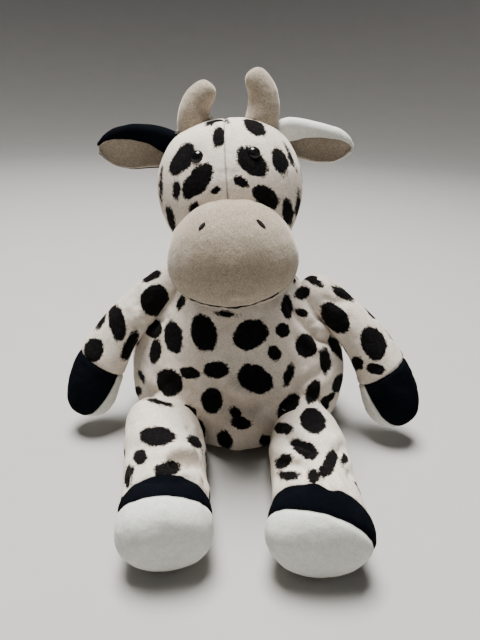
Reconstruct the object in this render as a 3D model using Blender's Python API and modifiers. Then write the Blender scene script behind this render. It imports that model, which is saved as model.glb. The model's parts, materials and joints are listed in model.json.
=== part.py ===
# Plush cow, seated and facing -Y. Metres, +Z up, with the origin under the middle of the seat.
# Each stuffed form is a cover of sewn panels around its own stuffing. Limbs, head, ears and tail
# turn about the empties that carry them. Left and right are the cow's own.
import math

import bmesh
import bpy
from mathutils import Matrix, Vector
from mathutils.bvhtree import BVHTree

for old in list(bpy.data.objects):
    bpy.data.objects.remove(old)

# Cloth and fits
CLOTH = 0.0014  # backing and pile together
CLEARANCE = 0.0003  # between pieces that touch
SEAT_FLAT = 0.0005  # how deep the forms that stand on the floor are flattened
OVERRUN = 0.02  # how far cutters reach past what they cut

# Body, a pear that sits on its wide end
BODY_WIDTH = 0.130
BODY_DEPTH = 0.090
BODY_HEIGHT = 0.104
BODY_SIDES = 10
# Each ring: height, half width, half depth and shift to the back, as shares of the sizes above
BODY_RING_SHARES = (
    (1.000, 0.00, 0.00, -0.04),
    (0.950, 0.26, 0.34, -0.04),
    (0.860, 0.47, 0.60, -0.03),
    (0.730, 0.69, 0.79, -0.02),
    (0.560, 0.88, 0.93, -0.01),
    (0.370, 0.99, 1.01, 0.00),
    (0.170, 0.99, 1.01, -0.01),
    (0.035, 0.91, 0.99, -0.03),
    (0.000, 0.64, 0.78, -0.05),
)
SIDE_SEAM_BACK = 0.004
PELLET_BAG_WIDTH = 0.086
PELLET_BAG_DEPTH = 0.056
PELLET_BAG_HEIGHT = 0.030
PELLET_BAG_BASE = 0.004
PELLET_BAG_SIDES = 6
PELLET_BAG_RINGS = 5

# Neck: the head sits on a ball about this point and turns and nods about it
NECK_ACROSS = -0.001
NECK_BACK = -0.004
NECK_BELOW_TOP = 0.024
NECK_HEIGHT = BODY_HEIGHT - NECK_BELOW_TOP
NECK_BALL_RADIUS = 0.025
NECK_BALL_SEGMENTS = 40
NECK_PLUG_RADIUS = 0.010
NECK_PLUG_FOOT = 0.006
HEAD_LEAN = math.radians(-6.0)

# Head, measured up from the neck point
HEAD_WIDTH = 0.073
HEAD_DEPTH = 0.068
HEAD_CROWN = 0.0925
HEAD_CHIN = 0.014
HEAD_SIDES = 10
HEAD_RING_SHARES = (
    (1.000, 0.00, 0.00, 0.04),
    (0.965, 0.50, 0.47, 0.03),
    (0.860, 0.82, 0.80, 0.02),
    (0.680, 0.99, 0.99, 0.00),
    (0.480, 1.00, 1.01, 0.00),
    (0.280, 0.85, 0.90, 0.01),
    (0.090, 0.52, 0.57, 0.03),
    (0.000, 0.00, 0.00, 0.04),
)
HEAD_FORWARD = 0.004

# Muzzle
MUZZLE_WIDTH = 0.0606
MUZZLE_DEPTH = 0.044
MUZZLE_HEIGHT = 0.051
MUZZLE_FORWARD = 0.040
MUZZLE_UP = 0.036
MUZZLE_SIDES = 10
MUZZLE_RING_SHARES = (
    (-1.00, 0.00, 0.00),
    (-0.88, 0.66, 0.58),
    (-0.50, 0.99, 0.94),
    (0.00, 1.03, 1.03),
    (0.50, 0.85, 0.88),
    (0.88, 0.46, 0.50),
    (1.00, 0.00, 0.00),
)
CHIN_SEAM_DOWN_SHARE = 0.87
CHIN_SEAM_FRONT_SHARE = 0.50
CHIN_SEAM_TILT = math.radians(57.0)

# Eyes, nostrils and mouth
EYE_DIAMETER = 0.0052
EYE_APART = 0.0248
EYE_UP = 0.0785
EYE_RIM = math.radians(125.0)
EYE_RIM_STEPS = 4
EYE_RISE_SHARE = 0.8
EYE_SHANK_RADIUS = 0.0009
EYE_SHANK_LENGTH = 0.0060
WASHER_RADIUS = 0.0040
WASHER_THICKNESS = 0.0010
WASHER_BACK = 0.0034
NOSTRIL_LENGTH = 0.0044
NOSTRIL_WIDTH = 0.0017
NOSTRIL_HEIGHT = 0.0016
NOSTRIL_APART = 0.0250
NOSTRIL_ASIDE = 0.0015
NOSTRIL_UP = 0.0155
NOSTRIL_TILT = math.radians(22.0)
MOUTH_WIDTH = 0.040
THREAD_RADIUS = 0.00045
THREAD_POINTS = 15

# Horns
HORN_LENGTH_LEFT = 0.0280
HORN_LENGTH_RIGHT = 0.0245
HORN_BASE_RADIUS = 0.0088
HORN_TIP_RADIUS = 0.0056
HORN_APART = 0.030
HORN_FOOT_UP = 0.0800
HORN_BACK = 0.0
# Each horn bends: how far out and up its middle line goes, as shares of its length
HORN_OUT_SHARES_LEFT = (0.00, 0.13, 0.15, 0.04)
HORN_OUT_SHARES_RIGHT = (0.00, 0.05, -0.07, -0.26)
HORN_RISE_SHARES_LEFT = (0.00, 0.46, 0.79, 1.00)
HORN_RISE_SHARES_RIGHT = (0.00, 0.50, 0.82, 1.00)
HORN_SIDES = 6
HORN_RADIUS_SHARES = (1.00, 0.97, 0.86, 0.72)

# Ears, each a leaf whose upper edge folds over to the front
EAR_LENGTH_LEFT = 0.036
EAR_LENGTH_RIGHT = 0.040
EAR_WIDTH = 0.0250
EAR_CLOTH = 0.0010
EAR_ROOT_UP_LEFT = 0.0805
EAR_ROOT_UP_RIGHT = 0.0790
EAR_ROOT_BACK = 0.004
EAR_ROOT_GAP = 0.0004
EAR_SWING = math.radians(20.0)
EAR_LIFT_LEFT = math.radians(-13.0)
EAR_LIFT_RIGHT = math.radians(9.0)
EAR_SWEEP = math.radians(8.0)
EAR_FOLD_ROOT = math.radians(165.0)
EAR_FOLD_TIP = math.radians(55.0)
EAR_FOLD_START_SHARE = 0.42
EAR_ROOT_WIDTH_SHARE = 0.42
EAR_LEAF_START_SHARE = 0.12
EAR_LEAF_SPAN_SHARE = 0.86
EAR_LEAF_ROUNDNESS = 0.7
EAR_TIP_DRAW_SHARE = 0.10
EAR_LEAN = math.radians(12.0)
EAR_STEPS_ALONG = 7
EAR_STEPS_ACROSS = 9
EAR_FOLD_STEPS = 24

# Arms, from the shoulder point to the end of the hoof
SHOULDER_INSET = 0.0220
SHOULDER_ACROSS = BODY_WIDTH / 2 - SHOULDER_INSET
SHOULDER_BACK = -0.007
SHOULDER_BELOW_TOP = 0.0215
SHOULDER_HEIGHT = BODY_HEIGHT - SHOULDER_BELOW_TOP
ARM_REACH_OUT_LEFT = 0.0470
ARM_REACH_OUT_RIGHT = 0.0415
ARM_REACH_FORWARD = 0.0200
ARM_REACH_DOWN = 0.0600
ARM_BOW = 0.0085
ARM_ROOT_RADIUS = 0.0112
ARM_SIDES = 6
ARM_ALONG_SHARES = (0.0, 0.22, 0.48, 0.74, 0.92)
ARM_WIDTH_SHARES = (0.98, 1.05, 1.18, 1.42, 1.42)
ARM_DEPTH_SHARES = (1.00, 1.02, 1.10, 1.20, 1.12)
HAND_SPREAD_LEFT_SHARE = 1.05
HAND_SPREAD_RIGHT_SHARE = 0.96
HOOF_END_RADIUS = 0.0134
HOOF_START_SHARE = 0.72
PALM_TURN = math.radians(40.0)

# Legs, from the hip point to the sole
HIP_INSET = 0.0270
HIP_ACROSS = BODY_WIDTH / 2 - HIP_INSET
HIP_PROUD = 0.0020
HIP_FORWARD = BODY_DEPTH / 2 + HIP_PROUD
LEG_LENGTH = 0.0750
LEG_WIDTH = 0.0390
LEG_HEIGHT = 0.0375
LEG_TOE_IN_LEFT = 0.002
LEG_TOE_IN_RIGHT = 0.011
FOOT_SPREAD_LEFT_SHARE = 1.09
FOOT_SPREAD_RIGHT_SHARE = 1.00
LEG_SIDES = 8
LEG_ALONG_SHARES = (0.0, 0.25, 0.64, 0.89, 1.0)
LEG_WIDTH_SHARES = (1.02, 1.03, 0.90, 1.05, 1.06)
LEG_HEIGHT_SHARES = (0.88, 0.97, 0.98, 1.14, 1.08)
SOLE_BULGE = 0.0060
SOLE_SEAM_SHARE_LEFT = 0.950
SOLE_SEAM_SHARE_RIGHT = 0.860
FOOT_SEAM_SHARE_LEFT = 0.800
FOOT_SEAM_SHARE_RIGHT = 0.765
FOOT_SEAM_TILT = math.radians(-7.0)
SOLE_SEAM_TILT_LEFT = math.radians(16.0)
SOLE_SEAM_TILT_RIGHT = math.radians(19.0)
FOOT_TURN_LEFT = math.radians(-12.0)
FOOT_TURN_RIGHT = math.radians(-4.0)

# Tail
TAIL_RADIUS = 0.0026
TAIL_SWING = math.radians(30.0)
TAIL_ROOT_HEIGHT = 0.034
TAIL_OUT = 0.020
TAIL_RISE_END = 0.0052
TUFT_RADIUS = 0.0056
TUFT_LENGTH = 0.018
TAIL_SIDES = 6
TAIL_STEPS = 4
TAIL_ARCH_SHARE = 0.25
TUFT_ALONG_SHARES = (0.0, 0.3, 0.65, 0.9)
TUFT_RADIUS_SHARES = (0.55, 1.0, 0.95, 0.55)

# Blank woven tape sewn into the right side seam
TAPE_LENGTH = 0.028
TAPE_WIDTH = 0.012
TAPE_THICKNESS = 0.0010
TAPE_GAP = 0.0006
TAPE_TOP_HEIGHT = 0.055
TAPE_TURN = math.radians(14.0)
TAPE_STEPS = 8

# Rounded ends of limbs, horns and tail; smoothing draws a root in, so it starts further out
CAP_BEND = math.radians(45.0)
ROOT_REACH_SHARE = 1.15

# Round cutters
BALL_SEGMENTS = 16
TURN_STEPS = 12


def new_collection(name):
    made = bpy.data.collections.new(name)
    bpy.context.scene.collection.children.link(made)
    return made


cow = new_collection("plush_cow")
cutters = new_collection("cutters")


def finish(name, colour, roughness):
    made = bpy.data.materials.get(name)
    if made is None:
        made = bpy.data.materials.new(name)
        made.use_nodes = True
        shader = made.node_tree.nodes["Principled BSDF"]
        shader.inputs["Base Color"].default_value = (*colour, 1.0)
        shader.inputs["Roughness"].default_value = roughness
        shader.inputs["Metallic"].default_value = 0.0
        made.diffuse_color = (*colour, 1.0)
    return made


def spotted_pile():
    return finish("spotted_pile", (0.76, 0.70, 0.63), 0.95)


def taupe_velour():
    return finish("taupe_velour", (0.40, 0.34, 0.30), 0.92)


def black_pile():
    return finish("black_pile", (0.006, 0.008, 0.011), 0.90)


def white_pile():
    return finish("white_pile", (0.74, 0.76, 0.72), 0.92)


def stuffing():
    return finish("stuffing", (0.85, 0.85, 0.83), 1.0)


def black_gloss():
    return finish("black_gloss", (0.004, 0.004, 0.004), 0.12)


def black_thread():
    return finish("black_thread", (0.01, 0.01, 0.01), 0.70)


def clear_plastic():
    return finish("clear_plastic", (0.80, 0.80, 0.80), 0.30)


def white_tape():
    return finish("white_tape", (0.72, 0.73, 0.72), 0.80)


def place(name, mesh, surface, carrier=None, at=None):
    made = bpy.data.objects.new(name, mesh)
    cow.objects.link(made)
    mesh.materials.clear()
    mesh.materials.append(surface)
    mesh.shade_smooth()
    mesh.set_sharp_from_angle(angle=math.radians(40.0))
    made.parent = carrier
    if at is not None:
        made.matrix_local = at
    return made


def cutter(name, mesh, carrier=None, at=None):
    made = bpy.data.objects.new(name, mesh)
    cutters.objects.link(made)
    made.hide_render = True
    made.display_type = "WIRE"
    made.parent = carrier
    if at is not None:
        made.matrix_local = at
    return made


def joint_empty(name, point, carrier=None, turn=(0.0, 0.0, 0.0)):
    made = bpy.data.objects.new(name, None)
    cow.objects.link(made)
    made.empty_display_size = NECK_PLUG_RADIUS
    made.location = point
    made.rotation_euler = turn
    made.parent = carrier
    return made


def cut(piece, *tools, operation="DIFFERENCE"):
    for tool in tools:
        step = piece.modifiers.new(tool.name, "BOOLEAN")
        step.operation = operation
        step.solver = "EXACT"
        step.object = tool


def mesh_from(bm, name, triangles=False):
    # Triangles keep a curved form's faces flat, which a Boolean needs
    if triangles:
        bmesh.ops.triangulate(bm, faces=bm.faces)
    mesh = bpy.data.meshes.new(name)
    bm.to_mesh(mesh)
    bm.free()
    return mesh


def smoothed(bm):
    # Subdivides a coarse cage as the Subdivision Surface modifier does
    holder = bpy.data.objects.new("cage", mesh_from(bm, "cage"))
    bpy.context.scene.collection.objects.link(holder)
    step = holder.modifiers.new("smooth", "SUBSURF")
    step.levels = 1
    step.render_levels = 1
    graph = bpy.context.evaluated_depsgraph_get()
    mesh = bpy.data.meshes.new_from_object(holder.evaluated_get(graph))
    bpy.data.objects.remove(holder)
    bm = bmesh.new()
    bm.from_mesh(mesh)
    return mesh_from(bm, "skin", triangles=True)


def coarse_cage(rings, sides):
    # A ball's rings moved to the given ones: each has a centre, a half width and a half depth.
    # Subdividing draws a ring in, so the cage is that much larger. The rings run against the
    # cross product of width and depth, which keeps the faces outwards.
    ease = 3.0 / (2.0 + math.cos(2.0 * math.pi / sides))
    bm = bmesh.new()
    steps = len(rings) - 1
    bmesh.ops.create_uvsphere(bm, u_segments=sides, v_segments=steps, radius=1.0)
    for vert in bm.verts:
        step = round(math.acos(max(-1.0, min(1.0, vert.co.z))) / math.pi * steps)
        centre, across, through = rings[step]
        flat = Vector((vert.co.x, vert.co.y))
        if 0 < step < steps:
            flat.normalize()
        else:
            flat.zero()
        vert.co = centre + (across * flat.x + through * flat.y) * ease
    return bm


def stuffed_form(rings, sides):
    # A rounded skin, and a plainer core whose points are those of the skin that the cage began with
    skin = smoothed(coarse_cage(rings, sides))
    bm = coarse_cage(rings, sides)
    for vert, smooth in zip(bm.verts, skin.vertices):
        vert.co = smooth.co
    return skin, mesh_from(bm, "core", triangles=True)


def offset(mesh, distance):
    # The same skin moved along its normals: out for a cutter with clearance, in for a stuffing
    bm = bmesh.new()
    bm.from_mesh(mesh)
    bm.normal_update()
    moves = [vert.normal * (distance * vert.calc_shell_factor()) for vert in bm.verts]
    for vert, move in zip(bm.verts, moves):
        vert.co += move
    return mesh_from(bm, mesh.name)


def half_space(name, point, normal, carrier):
    # A box over all that lies past a seam plane, with half the seam's gap
    aside = normal.normalized()
    bm = bmesh.new()
    bmesh.ops.create_cube(bm, size=BODY_WIDTH + BODY_HEIGHT)
    shift = (BODY_WIDTH + BODY_HEIGHT) / 2 - CLEARANCE / 2
    bmesh.ops.translate(bm, vec=(0.0, 0.0, shift), verts=bm.verts)
    return cutter(name, mesh_from(bm, name), carrier, facing(point, aside))


def panel(name, form, surface, seams, carrier=None):
    # A wall of cloth between a form's skin and its core, cut off past every seam plane
    skin, core = form
    bm = bmesh.new()
    bm.from_mesh(offset(core, -CLOTH))
    bmesh.ops.reverse_faces(bm, faces=bm.faces)
    bm.from_mesh(skin)
    made = place(name, mesh_from(bm, name), surface, carrier)
    for index, (point, normal) in enumerate(seams):
        cut(made, half_space(f"{name}_seam_{index}", Vector(point), Vector(normal), carrier))
    return made


def filling(name, form, carrier=None):
    mesh = offset(form[1], -(CLOTH + CLEARANCE))
    return place(name, mesh, stuffing(), carrier)


def ball(name, radius, at, segments):
    bm = bmesh.new()
    bmesh.ops.create_uvsphere(bm, u_segments=segments, v_segments=segments // 2, radius=radius)
    return cutter(name, mesh_from(bm, name), at=at)


def turned(name, profile, steps):
    # A profile in the XZ plane swept once round Z, its ends on the axis or joined up
    bm = bmesh.new()
    points = [bm.verts.new((radius, 0.0, height)) for radius, height in profile]
    for first, second in zip(points, points[1:]):
        bm.edges.new((first, second))
    if profile[0][0] > 0:
        bm.edges.new((points[-1], points[0]))
    holder = bpy.data.objects.new("profile", mesh_from(bm, name))
    bpy.context.scene.collection.objects.link(holder)
    step = holder.modifiers.new("turn", "SCREW")
    step.steps = steps
    step.render_steps = steps
    step.use_merge_vertices = True
    step.merge_threshold = CLEARANCE * CLEARANCE
    graph = bpy.context.evaluated_depsgraph_get()
    mesh = bpy.data.meshes.new_from_object(holder.evaluated_get(graph))
    bpy.data.objects.remove(holder)
    bm = bmesh.new()
    bm.from_mesh(mesh)
    bmesh.ops.recalc_face_normals(bm, faces=bm.faces)
    return mesh_from(bm, name)


def limb_rings(points, wides, deeps, front, root_cap, tip_cap):
    # Rings along a spine with rounded ends; wides lie across the spine, deeps towards front
    spine = [Vector(point) for point in points]
    along = []
    for index in range(len(spine)):
        before = spine[max(index - 1, 0)]
        after = spine[min(index + 1, len(spine) - 1)]
        along.append((after - before).normalized())
    rings = []

    def ring(centre, tangent, wide, deep):
        through = (front - tangent * front.dot(tangent)).normalized()
        across = tangent.cross(through)
        rings.append((centre, across * wide, through * deep))

    ring(spine[0] - along[0] * (root_cap * ROOT_REACH_SHARE), along[0], wides[0], deeps[0])
    first = spine[0] - along[0] * (root_cap * math.sin(CAP_BEND))
    ring(first, along[0], wides[0] * math.cos(CAP_BEND), deeps[0] * math.cos(CAP_BEND))
    for centre, tangent, wide, deep in zip(spine, along, wides, deeps):
        ring(centre, tangent, wide, deep)
    last = spine[-1] + along[-1] * (tip_cap * math.sin(CAP_BEND))
    ring(last, along[-1], wides[-1] * math.cos(CAP_BEND), deeps[-1] * math.cos(CAP_BEND))
    ring(spine[-1] + along[-1] * tip_cap, along[-1], wides[-1], deeps[-1])
    return rings


def cut_swung(piece, mesh, carrier, joint, angle):
    # Cut by a form as it stands at both ends of a hinge's swing about the joint's Z
    for word, turn in (("fore", -angle), ("aft", angle)):
        hinge = joint.matrix_basis
        at = hinge @ Matrix.Rotation(turn, 4, "Z") @ hinge.inverted()
        cut(piece, cutter(f"{piece.name}_{word}", mesh, carrier, at))


def tree_of(mesh):
    bm = bmesh.new()
    bm.from_mesh(mesh)
    tree = BVHTree.FromBMesh(bm)
    bm.free()
    return tree


def facing(point, normal, spin=0.0):
    # A frame on a surface whose Z points out of it
    return (
        Matrix.Translation(point)
        @ normal.to_track_quat("Z", "Y").to_matrix().to_4x4()
        @ Matrix.Rotation(spin, 4, "Z")
    )


# Empties on the joints
neck_point = Vector((NECK_ACROSS, NECK_BACK, NECK_HEIGHT))
neck = joint_empty("neck_joint", neck_point)
head = joint_empty("head_joint", (0.0, 0.0, 0.0), neck, (0.0, HEAD_LEAN, 0.0))


def body_rings():
    rings = []
    for height, wide, deep, back in BODY_RING_SHARES:
        centre = Vector((0.0, BODY_DEPTH * back, BODY_HEIGHT * height))
        across = Vector((BODY_WIDTH / 2 * wide, 0.0, 0.0))
        rings.append((centre, across, Vector((0.0, BODY_DEPTH / 2 * deep, 0.0))))
    rings.append((Vector((0.0, 0.0, -SEAT_FLAT)), Vector(), Vector()))
    return rings


def head_rings():
    rings = []
    for height, wide, deep, back in HEAD_RING_SHARES:
        up = HEAD_CHIN + (HEAD_CROWN - HEAD_CHIN) * height
        centre = Vector((0.0, HEAD_DEPTH * back - HEAD_FORWARD, up))
        across = Vector((HEAD_WIDTH / 2 * wide, 0.0, 0.0))
        rings.append((centre, across, Vector((0.0, HEAD_DEPTH / 2 * deep, 0.0))))
    return rings


muzzle_centre = Vector((0.0, -MUZZLE_FORWARD, MUZZLE_UP))


def muzzle_rings():
    rings = []
    for up, wide, deep in reversed(MUZZLE_RING_SHARES):
        centre = muzzle_centre + Vector((0.0, 0.0, MUZZLE_HEIGHT / 2 * up))
        across = Vector((MUZZLE_WIDTH / 2 * wide, 0.0, 0.0))
        rings.append((centre, across, Vector((0.0, MUZZLE_DEPTH / 2 * deep, 0.0))))
    return rings


body = stuffed_form(body_rings(), BODY_SIDES)
skull = stuffed_form(head_rings(), HEAD_SIDES)
snout = stuffed_form(muzzle_rings(), MUZZLE_SIDES)
body_tree, skull_tree, snout_tree = (tree_of(form[0]) for form in (body, skull, snout))

body_grown = cutter("body_cutter", offset(body[0], CLEARANCE))
skull_grown = cutter("head_cutter", offset(skull[0], CLEARANCE), head)


def floor_cutter():
    reach = BODY_WIDTH + LEG_LENGTH + BODY_DEPTH
    bm = bmesh.new()
    bmesh.ops.create_cube(bm, size=1.0)
    bmesh.ops.scale(bm, vec=(2 * reach, 2 * reach, OVERRUN), verts=bm.verts)
    bmesh.ops.translate(bm, vec=(0.0, 0.0, -OVERRUN / 2), verts=bm.verts)
    return cutter("floor_cutter", mesh_from(bm, "floor_cutter"))


floor = floor_cutter()


def shoulder_point(side):
    return Vector((side * SHOULDER_ACROSS, SHOULDER_BACK, SHOULDER_HEIGHT))


def hip_point(side):
    height = LEG_HEIGHT / 2 * LEG_HEIGHT_SHARES[0] - SEAT_FLAT
    return Vector((side * HIP_ACROSS, -HIP_FORWARD, height))


LEG_ROOT_RADIUS = LEG_WIDTH / 2 * LEG_WIDTH_SHARES[0]
TAIL_ROOT = Vector((0.0, BODY_DEPTH / 2, TAIL_ROOT_HEIGHT))
SIDES = (("left", 1), ("right", -1))

# Sockets that the rounded limb roots turn in, and balls that the roots keep to inside the body
sockets = {}
keeps = []
for word, side in SIDES:
    for limb, point, radius in (
        ("arm", shoulder_point(side), ARM_ROOT_RADIUS),
        ("leg", hip_point(side), LEG_ROOT_RADIUS),
    ):
        at = Matrix.Translation(point)
        reach = radius + CLEARANCE
        sockets[limb, word] = ball(f"{limb}_{word}_socket", reach, at, BALL_SEGMENTS)
        keeps.append(ball(f"{limb}_{word}_keep", radius, at, BALL_SEGMENTS))
cut(body_grown, *keeps)


def neck_cutters():
    at = Matrix.Translation(neck_point)
    hollow = ball("neck_hollow", NECK_BALL_RADIUS + CLEARANCE, at, NECK_BALL_SEGMENTS)
    keep = ball("neck_keep", NECK_BALL_RADIUS, at, NECK_BALL_SEGMENTS)
    bore = plug_mesh("neck_bore", CLEARANCE)
    return hollow, keep, cutter("neck_bore", bore)


def plug_mesh(name, margin):
    low = NECK_HEIGHT + NECK_PLUG_FOOT - margin
    high = NECK_HEIGHT + NECK_BALL_RADIUS + OVERRUN
    bm = bmesh.new()
    bmesh.ops.create_cone(
        bm,
        cap_ends=True,
        segments=BALL_SEGMENTS,
        radius1=NECK_PLUG_RADIUS + margin,
        radius2=NECK_PLUG_RADIUS + margin,
        depth=high - low,
    )
    middle = Vector((NECK_ACROSS, NECK_BACK, (low + high) / 2))
    bmesh.ops.translate(bm, vec=middle, verts=bm.verts)
    return mesh_from(bm, name)


neck_hollow, neck_keep, neck_bore = neck_cutters()


def make_neck():
    plug = place("neck_stuffing", plug_mesh("neck_stuffing", 0.0), stuffing())
    cut(plug, neck_keep, operation="INTERSECT")


def make_body():
    mid = Vector((0.0, SIDE_SEAM_BACK, 0.0))
    front = panel("body_front_panel", body, spotted_pile(), [(mid, Vector((0, 1, 0)))])
    for word, side in SIDES:
        seams = [(mid, Vector((0, -1, 0))), (mid, Vector((-side, 0, 0)))]
        back = panel(f"body_back_panel_{word}", body, spotted_pile(), seams)
        cut(back, sockets["arm", word], neck_bore, floor)
    cut(front, *sockets.values(), neck_bore, floor)
    wadding = filling("body_stuffing", body)
    cut(wadding, *sockets.values(), neck_bore)
    return wadding


body_wadding = make_body()
make_neck()


def pellet_bag_mesh(margin):
    rings = []
    height = PELLET_BAG_HEIGHT + 2 * margin
    for turn in range(PELLET_BAG_RINGS):
        angle = math.pi * turn / (PELLET_BAG_RINGS - 1)
        up = PELLET_BAG_BASE - margin + height / 2 * (1.0 + math.cos(angle))
        across = Vector(((PELLET_BAG_WIDTH / 2 + margin) * math.sin(angle), 0.0, 0.0))
        through = Vector((0.0, (PELLET_BAG_DEPTH / 2 + margin) * math.sin(angle), 0.0))
        rings.append((Vector((0.0, 0.0, up)), across, through))
    return smoothed(coarse_cage(rings, PELLET_BAG_SIDES))


def make_pellet_bag():
    # The bag lies in a room that is open to the seat below it
    place("seat_pellet_bag", pellet_bag_mesh(0.0), white_tape())
    room = cutter("pellet_bag_room", pellet_bag_mesh(CLEARANCE))
    bm = bmesh.new()
    bmesh.ops.create_cone(
        bm,
        cap_ends=True,
        segments=BALL_SEGMENTS,
        radius1=PELLET_BAG_DEPTH / 4,
        radius2=PELLET_BAG_DEPTH / 4,
        depth=2 * (PELLET_BAG_BASE + CLOTH + CLEARANCE),
    )
    cut(body_wadding, room, cutter("pellet_bag_mouth", mesh_from(bm, "mouth")))


make_pellet_bag()


def make_head():
    mid = Vector((0.0, 0.0, 0.0))
    made = {}
    for word, side in SIDES:
        seams = [(mid, Vector((-side, 0, 0)))]
        made[word] = panel(f"head_panel_{word}", skull, spotted_pile(), seams, head)
    made["stuffing"] = filling("head_stuffing", skull, head)
    for piece in made.values():
        cut(piece, neck_hollow)
    return made


head_pieces = make_head()


def chin_seam():
    point = muzzle_centre + Vector(
        (
            0.0,
            -MUZZLE_DEPTH / 2 * CHIN_SEAM_FRONT_SHARE,
            -MUZZLE_HEIGHT / 2 * CHIN_SEAM_DOWN_SHARE,
        )
    )
    normal = Vector((0.0, math.sin(CHIN_SEAM_TILT), -math.cos(CHIN_SEAM_TILT)))
    return point, normal


def make_muzzle():
    point, normal = chin_seam()
    upper = panel("muzzle_panel", snout, taupe_velour(), [(point, normal)], head)
    chin = panel("chin_panel", snout, taupe_velour(), [(point, -normal)], head)
    wadding = filling("muzzle_stuffing", snout, head)
    for piece in (upper, chin, wadding):
        cut(piece, skull_grown)
    return upper


muzzle_upper = make_muzzle()
TOWARDS_BACK = Vector((0.0, 1.0, 0.0))


def eye_profile(margin):
    # From the front of the bead round its rim to the end of the shank
    radius = EYE_DIAMETER / 2 + margin
    shank = EYE_SHANK_RADIUS + margin
    profile = []
    for step in range(EYE_RIM_STEPS + 1):
        angle = EYE_RIM * step / EYE_RIM_STEPS
        rise = radius * EYE_RISE_SHARE * math.cos(angle)
        profile.append((radius * math.sin(angle), rise))
    profile[0] = (0.0, profile[0][1])
    foot = -EYE_SHANK_LENGTH - margin
    profile.append((shank, profile[-1][1]))
    profile.append((shank, foot))
    profile.append((0.0, foot))
    return profile


def make_eyes():
    for word, side in SIDES:
        start = Vector((side * EYE_APART / 2, -HEAD_DEPTH, EYE_UP))
        point, normal, _, _ = skull_tree.ray_cast(start, TOWARDS_BACK)
        at = facing(point, normal)
        bead = turned(f"eye_{word}", eye_profile(0.0), TURN_STEPS)
        place(f"eye_{word}", bead, black_gloss(), head, at)
        room = turned(f"eye_{word}_room", eye_profile(CLEARANCE), TURN_STEPS)
        tool = cutter(f"eye_{word}_room", room, head, at)
        low = -WASHER_BACK - WASHER_THICKNESS
        hole = EYE_SHANK_RADIUS + CLEARANCE
        ring = ((WASHER_RADIUS, -WASHER_BACK), (WASHER_RADIUS, low), (hole, low))
        washer = turned(f"eye_washer_{word}", (*ring, (hole, -WASHER_BACK)), TURN_STEPS)
        place(f"eye_washer_{word}", washer, clear_plastic(), head, at)
        bm = bmesh.new()
        bmesh.ops.create_cone(
            bm,
            cap_ends=True,
            segments=TURN_STEPS,
            radius1=WASHER_RADIUS + CLEARANCE,
            radius2=WASHER_RADIUS + CLEARANCE,
            depth=WASHER_THICKNESS + 2 * CLEARANCE,
        )
        lift = -WASHER_BACK - WASHER_THICKNESS / 2
        bmesh.ops.translate(bm, vec=(0.0, 0.0, lift), verts=bm.verts)
        room = cutter(f"eye_washer_{word}_room", mesh_from(bm, "washer_room"), head, at)
        cover, wadding = head_pieces[word], head_pieces["stuffing"]
        cut(cover, tool)
        cut(wadding, tool, room)


make_eyes()


def bead_mesh(name, length, width, height):
    bm = bmesh.new()
    bmesh.ops.create_uvsphere(bm, u_segments=8, v_segments=4, radius=1.0)
    bmesh.ops.scale(bm, vec=(length / 2, width / 2, height / 2), verts=bm.verts)
    return mesh_from(bm, name)


def make_nostrils():
    for word, side in SIDES:
        up = muzzle_centre.z + NOSTRIL_UP
        across = NOSTRIL_ASIDE + side * NOSTRIL_APART / 2
        start = Vector((across, -2 * MUZZLE_DEPTH, up))
        point, normal, _, _ = snout_tree.ray_cast(start, TOWARDS_BACK)
        at = facing(point, normal, side * NOSTRIL_TILT)
        stitch = bead_mesh(f"nostril_{word}", NOSTRIL_LENGTH, NOSTRIL_WIDTH, NOSTRIL_HEIGHT)
        place(f"nostril_{word}", stitch, black_thread(), head, at)
        grow = 2 * CLEARANCE
        room = bead_mesh(
            "nostril_room", NOSTRIL_LENGTH + grow, NOSTRIL_WIDTH + grow, NOSTRIL_HEIGHT + grow
        )
        cut(muzzle_upper, cutter(f"nostril_{word}_room", room, head, at))


make_nostrils()


def make_mouth():
    # Thread laid along the seam under the muzzle
    point, normal = chin_seam()
    down = Vector((0.0, -normal.z, normal.y)).normalized()
    if down.z > 0:
        down = -down
    curve = bpy.data.curves.new("mouth_thread", "CURVE")
    curve.dimensions = "3D"
    curve.bevel_depth = THREAD_RADIUS
    curve.bevel_resolution = 1
    curve.use_fill_caps = True
    line = curve.splines.new("POLY")
    line.points.add(THREAD_POINTS - 1)
    inside = point - down * (MUZZLE_HEIGHT / 2)
    for index in range(THREAD_POINTS):
        across = MOUTH_WIDTH * (index / (THREAD_POINTS - 1) - 0.5)
        start = Vector((across, inside.y, inside.z))
        hit, out, _, _ = snout_tree.ray_cast(start, down)
        spot = hit + out * (THREAD_RADIUS + CLEARANCE)
        line.points[index].co = (*spot, 1.0)
    made = bpy.data.objects.new("mouth_thread", curve)
    curve.materials.append(black_thread())
    cow.objects.link(made)
    made.parent = head


make_mouth()


def horn_rings(side, length, outs, rises):
    spine = []
    for out, rise in zip(outs, rises):
        across = HORN_APART / 2 + length * out
        spine.append((side * across, HORN_BACK, HORN_FOOT_UP + length * rise))
    radii = [HORN_BASE_RADIUS * share for share in HORN_RADIUS_SHARES]
    front = Vector((0.0, -1.0, 0.0))
    return limb_rings(spine, radii, radii, front, HORN_BASE_RADIUS, HORN_TIP_RADIUS)


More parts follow.
